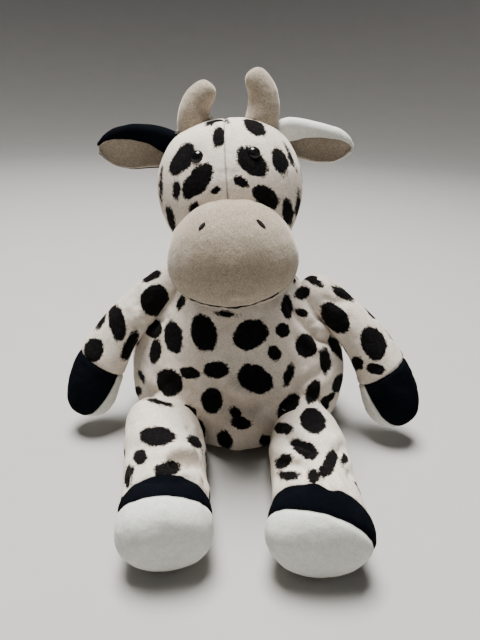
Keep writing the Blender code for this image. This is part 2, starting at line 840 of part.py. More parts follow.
def make_horns():
    for word, side in SIDES:
        if side > 0:
            outs, rises = HORN_OUT_SHARES_LEFT, HORN_RISE_SHARES_LEFT
            rings = horn_rings(side, HORN_LENGTH_LEFT, outs, rises)
        else:
            outs, rises = HORN_OUT_SHARES_RIGHT, HORN_RISE_SHARES_RIGHT
            rings = horn_rings(side, HORN_LENGTH_RIGHT, outs, rises)
        form = stuffed_form(rings, HORN_SIDES)
        seam = [(Vector((0.0, HORN_BACK, 0.0)), Vector((0, 1, 0)))]
        rear = [(Vector((0.0, HORN_BACK, 0.0)), Vector((0, -1, 0)))]
        pieces = [
            panel(f"horn_front_{word}", form, taupe_velour(), seam, head),
            panel(f"horn_back_{word}", form, taupe_velour(), rear, head),
            filling(f"horn_stuffing_{word}", form, head),
        ]
        for piece in pieces:
            cut(piece, skull_grown)


make_horns()


def ear_sheet(side, length):
    # A leaf grid: u runs from root to tip, v from the lower edge to the folded upper edge
    bm = bmesh.new()
    bmesh.ops.create_grid(
        bm, x_segments=EAR_STEPS_ALONG, y_segments=EAR_STEPS_ACROSS, size=0.5
    )
    for vert in bm.verts:
        u = vert.co.x + 0.5
        v = vert.co.y + 0.5
        leaf = math.sin(math.pi * (EAR_LEAF_START_SHARE + EAR_LEAF_SPAN_SHARE * u))
        leaf **= EAR_LEAF_ROUNDNESS
        full = EAR_WIDTH * (EAR_ROOT_WIDTH_SHARE + (1.0 - EAR_ROOT_WIDTH_SHARE) * leaf)
        fold = EAR_FOLD_ROOT + (EAR_FOLD_TIP - EAR_FOLD_ROOT) * u
        forward = 0.0
        up = -full * EAR_FOLD_START_SHARE
        for index in range(EAR_FOLD_STEPS):
            share = (index + 0.5) / EAR_FOLD_STEPS
            if share > v:
                break
            bend = max(0.0, (share - EAR_FOLD_START_SHARE) / (1.0 - EAR_FOLD_START_SHARE))
            angle = fold * bend - EAR_LEAN
            up += full / EAR_FOLD_STEPS * math.cos(angle)
            forward += full / EAR_FOLD_STEPS * math.sin(angle)
        taper = 1.0 - EAR_TIP_DRAW_SHARE * (2.0 * v - 1.0) ** 2
        vert.co = Vector((side * length * u * taper, -forward, up))
    if side < 0:
        bmesh.ops.reverse_faces(bm, faces=bm.faces)
    bm.normal_update()
    return bm


def make_ears():
    for word, side in SIDES:
        lift = EAR_LIFT_LEFT if side > 0 else EAR_LIFT_RIGHT
        length = EAR_LENGTH_LEFT if side > 0 else EAR_LENGTH_RIGHT
        root_up = EAR_ROOT_UP_LEFT if side > 0 else EAR_ROOT_UP_RIGHT
        start = Vector((side * HEAD_WIDTH, EAR_ROOT_BACK, root_up))
        point, _, _, _ = skull_tree.ray_cast(start, Vector((-side, 0.0, 0.0)))
        root = point + Vector((side * EAR_ROOT_GAP, 0.0, 0.0))
        turn = (0.0, -side * lift, side * EAR_SWEEP)
        ear = joint_empty(f"ear_{word}_joint", root, head, turn)
        back_colour = white_pile() if side > 0 else black_pile()
        for layer, surface, away in (("back", back_colour, -1), ("lining", taupe_velour(), 1)):
            sheet = mesh_from(ear_sheet(side, length), f"ear_{layer}_{word}")
            made = place(f"ear_{layer}_{word}", offset(sheet, away * CLEARANCE / 2), surface, ear)
            wall = made.modifiers.new("wall", "SOLIDIFY")
            wall.thickness = EAR_CLOTH
            wall.offset = float(away)
            wall.use_even_offset = False
            cut(made, skull_grown)
            cut_swung(made, skull_grown.data, head, ear, EAR_SWING)


make_ears()


def arm_spine(side):
    # From the shoulder point, bowed outwards, in the arm joint's own frame
    spine = []
    reach_out = ARM_REACH_OUT_LEFT if side > 0 else ARM_REACH_OUT_RIGHT
    reach = Vector((side * reach_out, -ARM_REACH_FORWARD, -ARM_REACH_DOWN))
    out = Vector((side * ARM_REACH_DOWN, 0.0, reach_out)).normalized()
    for share in ARM_ALONG_SHARES:
        full = share / ARM_ALONG_SHARES[-1]
        spine.append(reach * full + out * (ARM_BOW * math.sin(math.pi * full)))
    return spine


def make_arms():
    for word, side in SIDES:
        joint = joint_empty(f"arm_{word}_joint", shoulder_point(side))
        spine = arm_spine(side)
        spread = HAND_SPREAD_LEFT_SHARE if side > 0 else HAND_SPREAD_RIGHT_SHARE
        wides = [ARM_ROOT_RADIUS * share for share in ARM_WIDTH_SHARES]
        wides[-2:] = [wide * spread for wide in wides[-2:]]
        deeps = [ARM_ROOT_RADIUS * share for share in ARM_DEPTH_SHARES]
        front = Vector((0.0, -1.0, 0.0))
        rings = limb_rings(spine, wides, deeps, front, ARM_ROOT_RADIUS, HOOF_END_RADIUS)
        form = stuffed_form(rings, ARM_SIDES)
        along = (spine[-1] - spine[0]).normalized()
        wrist = spine[0].lerp(spine[-1], HOOF_START_SHARE)
        inward = Vector((-side * math.cos(PALM_TURN), math.sin(PALM_TURN), 0.0))
        inward = (inward - along * inward.dot(along)).normalized()
        pieces = [
            panel(f"arm_sleeve_{word}", form, spotted_pile(), [(wrist, along)], joint),
            panel(f"hoof_{word}", form, black_pile(), [(wrist, -along), (wrist, inward)], joint),
            panel(f"palm_{word}", form, white_pile(), [(wrist, -along), (wrist, -inward)], joint),
            filling(f"arm_stuffing_{word}", form, joint),
        ]
        for piece in pieces:
            cut(piece, body_grown)


make_arms()


def make_legs():
    for word, side in SIDES:
        hip = hip_point(side)
        joint = joint_empty(f"leg_{word}_joint", hip)
        toe_in = LEG_TOE_IN_LEFT if side > 0 else LEG_TOE_IN_RIGHT
        spread = FOOT_SPREAD_LEFT_SHARE if side > 0 else FOOT_SPREAD_RIGHT_SHARE
        sole_tilt = SOLE_SEAM_TILT_LEFT if side > 0 else SOLE_SEAM_TILT_RIGHT
        wides = [LEG_WIDTH / 2 * share for share in LEG_WIDTH_SHARES]
        wides[-2:] = [wide * spread for wide in wides[-2:]]
        deeps = [LEG_HEIGHT / 2 * share for share in LEG_HEIGHT_SHARES]
        spine = []
        for share, deep in zip(LEG_ALONG_SHARES, deeps):
            rise = deep - SEAT_FLAT - hip.z
            spine.append((-side * toe_in * share, -LEG_LENGTH * share, rise))
        front = Vector((0.0, 0.0, 1.0))
        rings = limb_rings(spine, wides, deeps, front, LEG_ROOT_RADIUS, SOLE_BULGE)
        form = stuffed_form(rings, LEG_SIDES)
        along = Vector((-side * toe_in, -LEG_LENGTH, 0.0)).normalized()
        sole_share = SOLE_SEAM_SHARE_LEFT if side > 0 else SOLE_SEAM_SHARE_RIGHT
        foot_share = FOOT_SEAM_SHARE_LEFT if side > 0 else FOOT_SEAM_SHARE_RIGHT
        foot_turn = FOOT_TURN_LEFT if side > 0 else FOOT_TURN_RIGHT
        sole = Vector(spine[0]).lerp(Vector(spine[-1]), sole_share)
        ankle = Vector(spine[0]).lerp(Vector(spine[-1]), foot_share)
        turned_out = Matrix.Rotation(foot_turn, 3, front) @ along
        across = turned_out.cross(front)
        slant = Matrix.Rotation(FOOT_SEAM_TILT, 3, across) @ turned_out
        face = Matrix.Rotation(-sole_tilt, 3, across) @ turned_out
        pieces = [
            panel(f"leg_cover_{word}", form, spotted_pile(), [(ankle, slant), (sole, face)], joint),
            panel(f"foot_top_{word}", form, black_pile(), [(ankle, -slant), (sole, face)], joint),
            panel(f"foot_sole_{word}", form, white_pile(), [(sole, -face)], joint),
        ]
        for piece in pieces:
            cut(piece, body_grown, floor)
        wadding = filling(f"leg_stuffing_{word}", form, joint)
        cut(wadding, body_grown)


make_legs()


def make_tail():
    joint = joint_empty("tail_joint", TAIL_ROOT)
    drop = TAIL_ROOT_HEIGHT - TAIL_RISE_END
    spine = []
    for index in range(TAIL_STEPS):
        share = index / (TAIL_STEPS - 1)
        back = TAIL_OUT * (share + TAIL_ARCH_SHARE * math.sin(math.pi * share))
        spine.append((0.0, back, -drop * (1.0 - math.cos(math.pi / 2 * share))))
    front = Vector((1.0, 0.0, 0.0))
    radii = [TAIL_RADIUS] * len(spine)
    rings = limb_rings(spine, radii, radii, front, TAIL_RADIUS, TAIL_RADIUS)
    cord_skin = smoothed(coarse_cage(rings, TAIL_SIDES))
    cord = place("tail_cord", cord_skin, spotted_pile(), joint)
    cut(cord, body_grown)
    cut_swung(cord, body_grown.data, None, joint, TAIL_SWING)
    end = Vector(spine[-1])
    along = (end - Vector(spine[-2])).normalized()
    level = Vector((0.0, 1.0, 0.0))
    start = end + along * (TAIL_RADIUS + CLEARANCE)
    tuft_spine = [start + level * (TUFT_LENGTH * share) for share in TUFT_ALONG_SHARES]
    for point in tuft_spine:
        point.z = TUFT_RADIUS - SEAT_FLAT - TAIL_ROOT_HEIGHT
    radii = [TUFT_RADIUS * share for share in TUFT_RADIUS_SHARES]
    rings = limb_rings(tuft_spine, radii, radii, front, TAIL_RADIUS, TAIL_RADIUS)
    tuft_skin = smoothed(coarse_cage(rings, TAIL_SIDES))
    tuft = place("tail_tuft", tuft_skin, black_pile(), joint)
    cord_grown = cutter("tail_cutter", offset(cord_skin, CLEARANCE), joint)
    cut(tuft, cord_grown, floor)


make_tail()


def make_tape():
    # Hangs from the side seam along the body's side, turned a little to show its width
    bm = bmesh.new()
    bmesh.ops.create_grid(bm, x_segments=2, y_segments=TAPE_STEPS, size=0.5)
    stand = TAPE_THICKNESS + TAPE_GAP + TAPE_WIDTH / 2 * math.sin(TAPE_TURN)
    for vert in bm.verts:
        down = 0.5 - vert.co.y
        height = TAPE_TOP_HEIGHT - TAPE_LENGTH * down
        start = Vector((-BODY_WIDTH, SIDE_SEAM_BACK, height))
        hit, _, _, _ = body_tree.ray_cast(start, Vector((1.0, 0.0, 0.0)))
        aside = TAPE_WIDTH * vert.co.x
        x = hit.x - stand - aside * math.sin(TAPE_TURN)
        vert.co = Vector((x, SIDE_SEAM_BACK + aside * math.cos(TAPE_TURN), height))
    bm.normal_update()
    made = place("side_tape", mesh_from(bm, "side_tape"), white_tape())
    wall = made.modifiers.new("wall", "SOLIDIFY")
    wall.thickness = TAPE_THICKNESS
    wall.offset = 0.0


make_tape()
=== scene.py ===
import json
import math
import random

import bmesh
import bpy
import numpy as np
from mathutils import Matrix, Vector, noise
from mathutils.bvhtree import BVHTree


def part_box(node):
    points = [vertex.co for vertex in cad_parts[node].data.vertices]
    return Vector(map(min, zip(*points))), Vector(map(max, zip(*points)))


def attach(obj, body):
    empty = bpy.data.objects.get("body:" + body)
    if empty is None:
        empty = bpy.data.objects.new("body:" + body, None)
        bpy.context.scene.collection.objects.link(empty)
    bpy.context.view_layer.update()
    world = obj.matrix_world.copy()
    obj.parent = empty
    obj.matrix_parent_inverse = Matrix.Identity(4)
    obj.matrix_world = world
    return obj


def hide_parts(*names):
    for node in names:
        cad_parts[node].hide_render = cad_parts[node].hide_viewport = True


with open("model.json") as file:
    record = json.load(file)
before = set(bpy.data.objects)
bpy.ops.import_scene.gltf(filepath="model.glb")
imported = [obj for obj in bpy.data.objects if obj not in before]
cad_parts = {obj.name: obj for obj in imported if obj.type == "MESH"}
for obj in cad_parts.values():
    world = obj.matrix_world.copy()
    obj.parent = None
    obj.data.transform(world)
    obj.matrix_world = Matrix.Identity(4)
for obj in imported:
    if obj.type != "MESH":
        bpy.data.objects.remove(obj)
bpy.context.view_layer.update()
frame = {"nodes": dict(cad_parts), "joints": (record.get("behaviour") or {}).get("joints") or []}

# Plush cow: every stuffed form is blown up as cloth, cut into its sewn panels and spotted.
# "Left" is the cow's own left, at +X. Sizes are metres, pixels are the photo's 480 x 640.
nodes = frame["nodes"]
mm = 0.001
sides = (("left", 1), ("right", -1))
joints = {joint["child"]: joint for joint in frame["joints"]}


# Camera, at the photo's viewing angle
view = {
    "place": (0.0, -0.260, 0.184),
    "down": math.radians(25.3),
    "roll": math.radians(2.0),
    "focal": 485.0,
    "imageWide": 480,
    "imageHigh": 640,
    "sensor": 36.0,
}


def makeCamera():
    lens = bpy.data.cameras.new("photoCamera")
    lens.sensor_width = view["sensor"]
    lens.lens = view["focal"] / view["imageHigh"] * view["sensor"]
    lens.clip_start = 0.01
    lens.clip_end = 20.0
    made = bpy.data.objects.new("photoCamera", lens)
    bpy.context.scene.collection.objects.link(made)
    tilt = Matrix.Rotation(math.pi / 2 - view["down"], 4, "X")
    roll = Matrix.Rotation(view["roll"], 4, "Z")
    made.matrix_world = Matrix.Translation(view["place"]) @ tilt @ roll
    bpy.context.scene.camera = made
    return made


camera = makeCamera()
cameraPlace = Vector(view["place"])
cameraTurn = camera.matrix_world.to_3x3()


def pixelRay(x, y):
    aside = (x - view["imageWide"] / 2) / view["focal"]
    up = (view["imageHigh"] / 2 - y) / view["focal"]
    return (cameraTurn @ Vector((aside, up, -1.0))).normalized()


# Bench tools
def pick(*pieces):
    if bpy.context.object and bpy.context.object.mode != "OBJECT":
        bpy.ops.object.mode_set(mode="OBJECT")
    bpy.ops.object.select_all(action="DESELECT")
    for piece in pieces:
        piece.select_set(True)
    bpy.context.view_layer.objects.active = pieces[0]


def applyStep(piece, kind, **settings):
    pick(piece)
    step = piece.modifiers.new(kind.lower(), kind)
    for key, value in settings.items():
        setattr(step, key, value)
    bpy.ops.object.modifier_apply(modifier=step.name)


def smoothSubdivide(piece, levels):
    applyStep(piece, "SUBSURF", levels=levels, render_levels=levels)


def softShade(piece, degrees=60.0):
    pick(piece)
    bpy.ops.object.shade_smooth_by_angle(angle=math.radians(degrees))


def pointsOf(piece):
    flat = np.empty(len(piece.data.vertices) * 3, np.float32)
    piece.data.vertices.foreach_get("co", flat)
    return flat.reshape(-1, 3).astype(float)


def normalsOf(piece):
    flat = np.empty(len(piece.data.vertices) * 3, np.float32)
    piece.data.vertex_normals.foreach_get("vector", flat)
    return flat.reshape(-1, 3).astype(float)


def movePoints(piece, points):
    piece.data.vertices.foreach_set("co", points.astype(np.float32).ravel())
    piece.data.update()


def treeOf(piece):
    bm = bmesh.new()
    bm.from_mesh(piece.data)
    tree = BVHTree.FromBMesh(bm)
    bm.free()
    return tree


def setMaterial(piece, material):
    piece.data.materials.clear()
    piece.data.materials.append(material)


def seat(piece, body, slot, *replaced):
    # The last step for every piece: what it rides on and the CAD solids it stands for. The slot is not
    # used.
    if replaced:
        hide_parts(*replaced)
    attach(piece, body)


# Node materials. Object coordinates are metres, so a noise scale of 1000 has 1 mm features.
socketNames = {"colour": "Base Color", "rough": "Roughness", "normal": "Normal"}


class Wiring:
    def __init__(self, name):
        self.material = bpy.data.materials.new(name)
        self.material.use_nodes = True
        self.tree = self.material.node_tree
        self.shader = self.tree.nodes["Principled BSDF"]
        self.place = self.add("ShaderNodeTexCoord").outputs["Object"]

    def add(self, kind, **settings):
        made = self.tree.nodes.new(kind)
        for key, value in settings.items():
            setattr(made, key, value)
        return made

    def join(self, source, target):
        if isinstance(source, (int, float, tuple)):
            target.default_value = source
        else:
            self.tree.links.new(source, target)

    def noise(self, scale, detail=2.0, roughness=0.5, stretch=None):
        made = self.add("ShaderNodeTexNoise")
        made.inputs["Scale"].default_value = scale
        made.inputs["Detail"].default_value = detail
        made.inputs["Roughness"].default_value = roughness
        place = self.place
        if stretch is not None:
            mapping = self.add("ShaderNodeMapping")
            mapping.inputs["Scale"].default_value = stretch
            self.join(self.place, mapping.inputs["Vector"])
            place = mapping.outputs["Vector"]
        self.join(place, made.inputs["Vector"])
        return made.outputs["Fac"]

    def sum(self, operation, first, second):
        made = self.add("ShaderNodeMath", operation=operation)
        for value, target in zip((first, second), made.inputs):
            self.join(value, target)
        return made.outputs["Value"]

    def surface(self, **sockets):
        # Base Color, Roughness and Normal take a node's output
        for key, source in sockets.items():
            self.join(source, self.shader.inputs[socketNames[key]])

    def spread(self, value, low, high, outLow=0.0, outHigh=1.0, style="SMOOTHSTEP"):
        made = self.add("ShaderNodeMapRange", interpolation_type=style)
        for source, target in zip((value, low, high, outLow, outHigh), made.inputs):
            self.join(source, target)
        return made.outputs["Result"]

    def mix(self, share, first, second, blend="MIX"):
        made = self.add("ShaderNodeMix", data_type="RGBA", blend_type=blend)
        self.join(share, made.inputs["Factor"])
        self.join(first, made.inputs["A"])
        self.join(second, made.inputs["B"])
        return made.outputs["Result"]

    def bump(self, height, strength, distance, before=None):
        made = self.add("ShaderNodeBump")
        made.inputs["Strength"].default_value = strength
        made.inputs["Distance"].default_value = distance
        self.join(height, made.inputs["Height"])
        if before is not None:
            self.join(before, made.inputs["Normal"])
        return made.outputs["Normal"]


def rgb(red, green, blue):
    return (red, green, blue, 1.0)


def pileBump(wiring, tuft, clump, lift):
    # Short pile: tufts under a millimetre that lie together in soft clumps
    tufts = wiring.noise(tuft, detail=3.0, roughness=0.65)
    clumps = wiring.noise(clump, detail=2.0)
    first = wiring.bump(clumps, 0.35, lift * 2.5)
    return wiring.bump(tufts, 0.55, lift, first), tufts, clumps


def pileMaterial(name, light, shade, tuft=1500.0, clump=260.0, lift=0.35 * mm, sheen=0.25,
                 mottle=45.0, grain=0.78, shine=0.18):
    wiring = Wiring(name)
    normal, tufts, clumps = pileBump(wiring, tuft, clump, lift)
    patches = wiring.spread(wiring.noise(mottle, detail=3.0), 0.35, 0.65)
    base = wiring.mix(patches, light, shade)
    # Painted shade and light of the pile: darker in the hollows between tufts and clumps, a little
    # lighter on their tops; grain sets how dark the hollows go
    deep = wiring.spread(tufts, 0.32, 0.66, grain, 1.06)
    clumpShade = wiring.spread(clumps, 0.30, 0.70, 0.93, 1.05, "LINEAR")
    seamGap = wiring.add("ShaderNodeAttribute", attribute_name="seamGap").outputs["Fac"]
    # Painted shade in the seam grooves: the pile darkens towards a seam, down to half its colour at
    # the seam
    seamShade = wiring.spread(seamGap, 0.10 * mm, 0.75 * mm, 0.50, 1.0)
    pileShading = wiring.sum("MULTIPLY", wiring.sum("MULTIPLY", deep, clumpShade), seamShade)
    combine = wiring.add("ShaderNodeCombineColor")
    for target in combine.inputs:
        wiring.join(pileShading, target)
    colour = wiring.mix(1.0, base, combine.outputs["Color"], "MULTIPLY")
    wiring.surface(colour=colour, rough=wiring.spread(tufts, 0.3, 0.7, 0.98, 0.86), normal=normal)
    wiring.shader.inputs["Sheen Weight"].default_value = sheen
    wiring.shader.inputs["Sheen Roughness"].default_value = 0.45
    wiring.shader.inputs["Sheen Tint"].default_value = rgb(1.0, 0.94, 0.85)
    wiring.shader.inputs["Specular IOR Level"].default_value = shine
    return wiring


def spottedPile():
    # Cream pile with dyed spots: the spotEdge attribute is how far a point lies outside a spot
    cream, creamShade = rgb(0.800, 0.725, 0.635), rgb(0.735, 0.650, 0.555)
    ink, inkLight = rgb(0.0045, 0.0042, 0.0045), rgb(0.010, 0.009, 0.009)
    wiring = pileMaterial("spottedPile", cream, creamShade, sheen=0.02, shine=0.02)
    edge = wiring.add("ShaderNodeAttribute", attribute_name="spotEdge").outputs["Fac"]
    wander, tips, fuzz = (
        wiring.spread(wiring.noise(scale, detail=detail), 0.3, 0.7, -far * mm, far * mm, "LINEAR")
        for scale, detail, far in ((150.0, 2.0, 0.50), (620.0, 1.0, 0.22), (1500.0, 2.0, 0.38))
    )
    ragged = wiring.sum("ADD", wiring.sum("ADD", edge, wander), wiring.sum("ADD", tips, fuzz))
    dyed = wiring.spread(ragged, -0.40 * mm, 0.50 * mm, 1.0, 0.0)
    dark = wiring.mix(wiring.spread(wiring.noise(700.0, detail=3.0), 0.45, 0.75), ink, inkLight)
    undyed = wiring.shader.inputs["Base Color"].links[0].from_socket
    wiring.surface(colour=wiring.mix(dyed, undyed, dark))
    return wiring.material


def threadMaterial():
    wiring = Wiring("blackThread")
    strands = wiring.noise(2600.0, detail=2.0, stretch=(0.3, 1.0, 1.0))
    base = wiring.mix(strands, rgb(0.004, 0.004, 0.004), rgb(0.022, 0.021, 0.022))
    rough, normal = wiring.spread(strands, 0.2, 0.8, 0.75, 0.5), wiring.bump(strands, 0.6, 0.15 * mm)
    wiring.surface(colour=base, rough=rough, normal=normal)
    wiring.shader.inputs["Specular IOR Level"].default_value = 0.10
    return wiring.material


def beadMaterial():
    wiring = Wiring("blackBead")
    dust = wiring.spread(wiring.noise(900.0, detail=4.0), 0.45, 0.85)
    base = wiring.mix(dust, rgb(0.003, 0.003, 0.0035), rgb(0.012, 0.011, 0.010))
    wiring.surface(colour=base, rough=wiring.spread(dust, 0.0, 1.0, 0.16, 0.32))
    wiring.shader.inputs["Specular IOR Level"].default_value = 0.30
    wiring.shader.inputs["Coat Weight"].default_value = 0.04
    wiring.shader.inputs["Coat Roughness"].default_value = 0.10
    return wiring.material


def fibreMaterial():
    wiring = Wiring("polyesterFibre")
    strands = wiring.noise(420.0, detail=6.0, roughness=0.75)
    base = wiring.mix(strands, rgb(0.62, 0.62, 0.60), rgb(0.90, 0.90, 0.88))
    rough, normal = wiring.spread(strands, 0.2, 0.8, 1.0, 0.8), wiring.bump(strands, 0.8, 1.0 * mm)
    wiring.surface(colour=base, rough=rough, normal=normal)
    return wiring.material


def washerMaterial():
    wiring = Wiring("naturalPlastic")
    flow = wiring.noise(500.0, detail=3.0, stretch=(1.0, 1.0, 0.2))
    base = wiring.mix(flow, rgb(0.70, 0.70, 0.67), rgb(0.84, 0.84, 0.82))
    wiring.surface(colour=base, rough=wiring.spread(flow, 0.2, 0.8, 0.28, 0.42))
    return wiring.material


def tapeMaterial():
    # Woven on the slant: two sets of fine threads that cross
    wiring = Wiring("wovenTape")
    split = wiring.add("ShaderNodeSeparateXYZ")
    wiring.join(wiring.place, split.inputs["Vector"])
    slant = wiring.sum("ADD", split.outputs["Y"], split.outputs["Z"])
    across = wiring.sum("SUBTRACT", split.outputs["Y"], split.outputs["Z"])
    ribs = [wiring.sum("SINE", wiring.sum("MULTIPLY", way, 5200.0), 0.0) for way in (slant, across)]
    weave = wiring.spread(wiring.sum("MAXIMUM", ribs[0], ribs[1]), -0.2, 1.0)
    base = wiring.mix(weave, rgb(0.50, 0.52, 0.52), rgb(0.80, 0.81, 0.80))
    rough, normal = wiring.spread(weave, 0.0, 1.0, 0.85, 0.55), wiring.bump(weave, 0.5, 0.15 * mm)
    wiring.surface(colour=base, rough=rough, normal=normal)
    return wiring.material


finishes = {
    "spotted": spottedPile(),
    "taupe": pileMaterial(
        "taupeVelour", rgb(0.450, 0.378, 0.292), rgb(0.370, 0.303, 0.226),
        tuft=1500.0, clump=420.0, lift=0.25 * mm, sheen=0.65, mottle=38.0, grain=0.64,
    ).material,
    "black": pileMaterial(
        "blackPile", rgb(0.0038, 0.0048, 0.0072), rgb(0.0022, 0.0029, 0.0045),
        sheen=0.0, shine=0.01,
    ).material,
    "white": pileMaterial(
        "whitePile", rgb(0.760, 0.770, 0.715), rgb(0.720, 0.730, 0.675),
        tuft=1900.0, clump=320.0, lift=0.28 * mm, sheen=0.25, grain=0.86,
    ).material,
    "thread": threadMaterial(),
    "bead": beadMaterial(),
    "fibre": fibreMaterial(),
    "washer": washerMaterial(),
    "tape": tapeMaterial(),
}
print("finishes made")


# Stuffed forms. The CAD solids of one form are fused, blown up as cloth and capped.
stuffing = {
    "simScale": 10.0,  # cloth behaves at this size, so the form is simulated larger
    "frames": 18,
    "quality": 6,
    "mass": 0.25,
    "pressure": 3.0,
    "stretch": 12.0,
    "shear": 4.0,
    "bending": 0.35,
}


def fusedForm(name, nodeNames, voxel, balls=()):
    # Copies of the CAD solids and balls that fill their sockets, made one closed skin
    bpy.ops.object.select_all(action="DESELECT")
    copies = []
    for nodeName in nodeNames:
        copy = bpy.data.objects.new(nodeName + "Copy", nodes[nodeName].data.copy())
        bpy.context.scene.collection.objects.link(copy)
        copies.append(copy)
    for centre, radius in balls:
        wide = radius if isinstance(radius, tuple) else (radius, radius, radius)
        bpy.ops.mesh.primitive_uv_sphere_add(segments=32, ring_count=16, radius=1.0, location=centre)
        bpy.ops.transform.resize(value=wide)
        bpy.ops.object.transform_apply(location=True, rotation=True, scale=True)
        copies.append(bpy.context.object)
    pick(*copies)
    bpy.ops.object.join()
    form = bpy.context.object
    form.name = name
    form.data.name = name
    form.data.materials.clear()
    applyStep(form, "WELD", merge_threshold=1e-6)
    applyStep(form, "REMESH", mode="VOXEL", voxel_size=voxel)
    keepLargest(form)
    return form


def keepLargest(form):
    # Small shells that the remesh leaves inside are dropped
    bm = bmesh.new()
    bm.from_mesh(form.data)
    left = set(bm.verts)
    groups = []
    while left:
        group, edge = set(), [left.pop()]
        while edge:
            vert = edge.pop()
            group.add(vert)
            for link in vert.link_edges:
                other = link.other_vert(vert)
                if other in left:
                    left.remove(other)
                    edge.append(other)
        groups.append(group)
    groups.sort(key=len)
    for group in groups[:-1]:
        bmesh.ops.delete(bm, geom=list(group), context="VERTS")
    bm.to_mesh(form.data)
    bm.free()


def flattenFacets(form, rounds):
    applyStep(form, "SMOOTH", iterations=rounds, factor=0.5)


def pinned(form, heldAt):
    # Vertex group of points that the cloth can't move, such as at the joints and on the floor
    group = form.vertex_groups.new(name="held")
    for index, vert in enumerate(form.data.vertices):
        weight = heldAt(vert.co)
        if weight > 0.0:
            group.add([index], weight, "REPLACE")
    return group.name


def blowUp(form, heldAt, spare, cap):
    # The cloth is cut larger than the form where spare is below zero, and moves by the cap at most
    rest = pointsOf(form)
    group = pinned(form, heldAt)
    movePoints(form, rest * stuffing["simScale"])
    cloth = form.modifiers.new("cloth", "CLOTH")
    cloth.settings.quality = stuffing["quality"]
    cloth.settings.mass = stuffing["mass"]
    cloth.settings.tension_stiffness = stuffing["stretch"]
    cloth.settings.compression_stiffness = stuffing["stretch"]
    cloth.settings.shear_stiffness = stuffing["shear"]
    cloth.settings.bending_stiffness = stuffing["bending"]
    cloth.settings.use_pressure = True
    cloth.settings.uniform_pressure_force = stuffing["pressure"]
    cloth.settings.shrink_min = spare
    cloth.settings.vertex_group_mass = group
    cloth.settings.pin_stiffness = 1.0
    cloth.settings.effector_weights.gravity = 0.0
    cloth.collision_settings.use_collision = False
    scene = bpy.context.scene
    cloth.point_cache.frame_start = 1
    cloth.point_cache.frame_end = stuffing["frames"]
    for step in range(1, stuffing["frames"] + 1):
        scene.frame_set(step)
    pick(form)
    bpy.ops.object.modifier_apply(modifier="cloth")
    scene.frame_set(1)
    blown = pointsOf(form) / stuffing["simScale"]
    moves = blown - rest
    length = np.linalg.norm(moves, axis=1, keepdims=True)
    moves *= np.minimum(1.0, cap / np.maximum(length, 1e-9))
    movePoints(form, rest + moves)
    form.vertex_groups.clear()


def crease(form, planes, depth, reach):
    # Draws the pile in along each seam plane, as stitches do, a little more here and there
    points, normals = pointsOf(form), normalsOf(form)
    pucker = 1.0 + 0.5 * np.array([noise.noise(point * 260.0) for point in map(Vector, points)])
    inward = np.zeros(len(points))
    for place, normal, *limits in planes:
        normal = Vector(normal).normalized()
        gap = (points - np.array(place)) @ np.array(normal)
        pull = depth * pucker * np.exp(-(gap / reach) ** 2)
        for limitPlace, limitNormal in limits:
            side = (points - np.array(limitPlace)) @ np.array(limitNormal)
            pull *= 1.0 / (1.0 + np.exp(side / (0.5 * mm)))
        inward = np.maximum(inward, pull)
    movePoints(form, points - normals * inward[:, None])


def lump(form, height, size, creases):
    # Fibre filling never lies quite evenly under the cover
    points, normals = pointsOf(form), normalsOf(form)
    swell = np.array([noise.noise(point / size) for point in map(Vector, points)])
    creased = np.array([abs(noise.noise(point / (0.62 * size))) for point in map(Vector, points)])
    rise = height * (swell + creases * (np.sqrt(creased) - 0.5))
    movePoints(form, points + normals * rise[:, None])


def castLine(tree, pixels):
    # Points on the form under a line drawn over the photo
    found = []
    for (x, y), (nextX, nextY) in zip(pixels, pixels[1:] + pixels[-1:]):
        count = max(1, int(math.hypot(nextX - x, nextY - y)))
        for step in range(count):
            share = step / count
            way = pixelRay(x + (nextX - x) * share, y + (nextY - y) * share)
            hit = tree.ray_cast(cameraPlace, way)[0]
            if hit is not None:
                found.append(tuple(hit))
    return np.array(found)


def pressLine(form, tree, pixels, depth, reach):
    # Presses a fold in along a line, with a low roll beside it. A depth under zero lifts instead.
    line = castLine(tree, pixels)
    if len(line) == 0:
        return
    points, normals = pointsOf(form), normalsOf(form)
    above, below = points > line.min(axis=0) - 4 * reach, points < line.max(axis=0) + 4 * reach
    near = np.all(above & below, axis=1)
    gaps = np.linalg.norm(points[near][:, None] - line[None], axis=2)
    gap, closest = gaps.min(axis=1), gaps.argmin(axis=1)
    share = closest / max(1, len(line) - 1)
    fade = np.clip(4.0 * np.minimum(share, 1.0 - share) + 0.2, 0.0, 1.0) if len(line) > 1 else 1.0
    pull = np.exp(-(gap / reach) ** 2)
    if depth > 0.0:
        pull -= 0.3 * np.exp(-((gap - 2.2 * reach) / reach) ** 2)
    points[near] -= normals[near] * (depth * fade * pull)[:, None]
    movePoints(form, points)


def copyOf(form, name):
    made = form.copy()
    made.data = form.data.copy()
    bpy.context.scene.collection.objects.link(made)
    made.name = name
    made.data.name = name
    return made


def makeFilling(form, name, ridesOn, node, inset):
    # Fibre filling of the same shape, a little inside the cover, with fewer faces
    filling = copyOf(form, name)
    movePoints(filling, pointsOf(filling) - normalsOf(filling) * inset)
    applyStep(filling, "DECIMATE", ratio=0.3)
    softShade(filling)
    setMaterial(filling, finishes["fibre"])
    seat(filling, ridesOn, "stuffing", node)


def cutPanel(form, name, planes):
    # The part of a form on the inner side of every seam plane, as its own cloth
    panel = copyOf(form, name)
    for place, normal in planes:
        pick(panel)
        bpy.ops.object.mode_set(mode="EDIT")
        bpy.ops.mesh.select_all(action="SELECT")
        bpy.ops.mesh.bisect(plane_co=place, plane_no=Vector(normal).normalized(), clear_outer=True)
        bpy.ops.object.mode_set(mode="OBJECT")
    keepLargest(panel)
    return panel


def giveThickness(panel, cloth):
    applyStep(panel, "SOLIDIFY", thickness=cloth, offset=-1.0)
    softShade(panel)


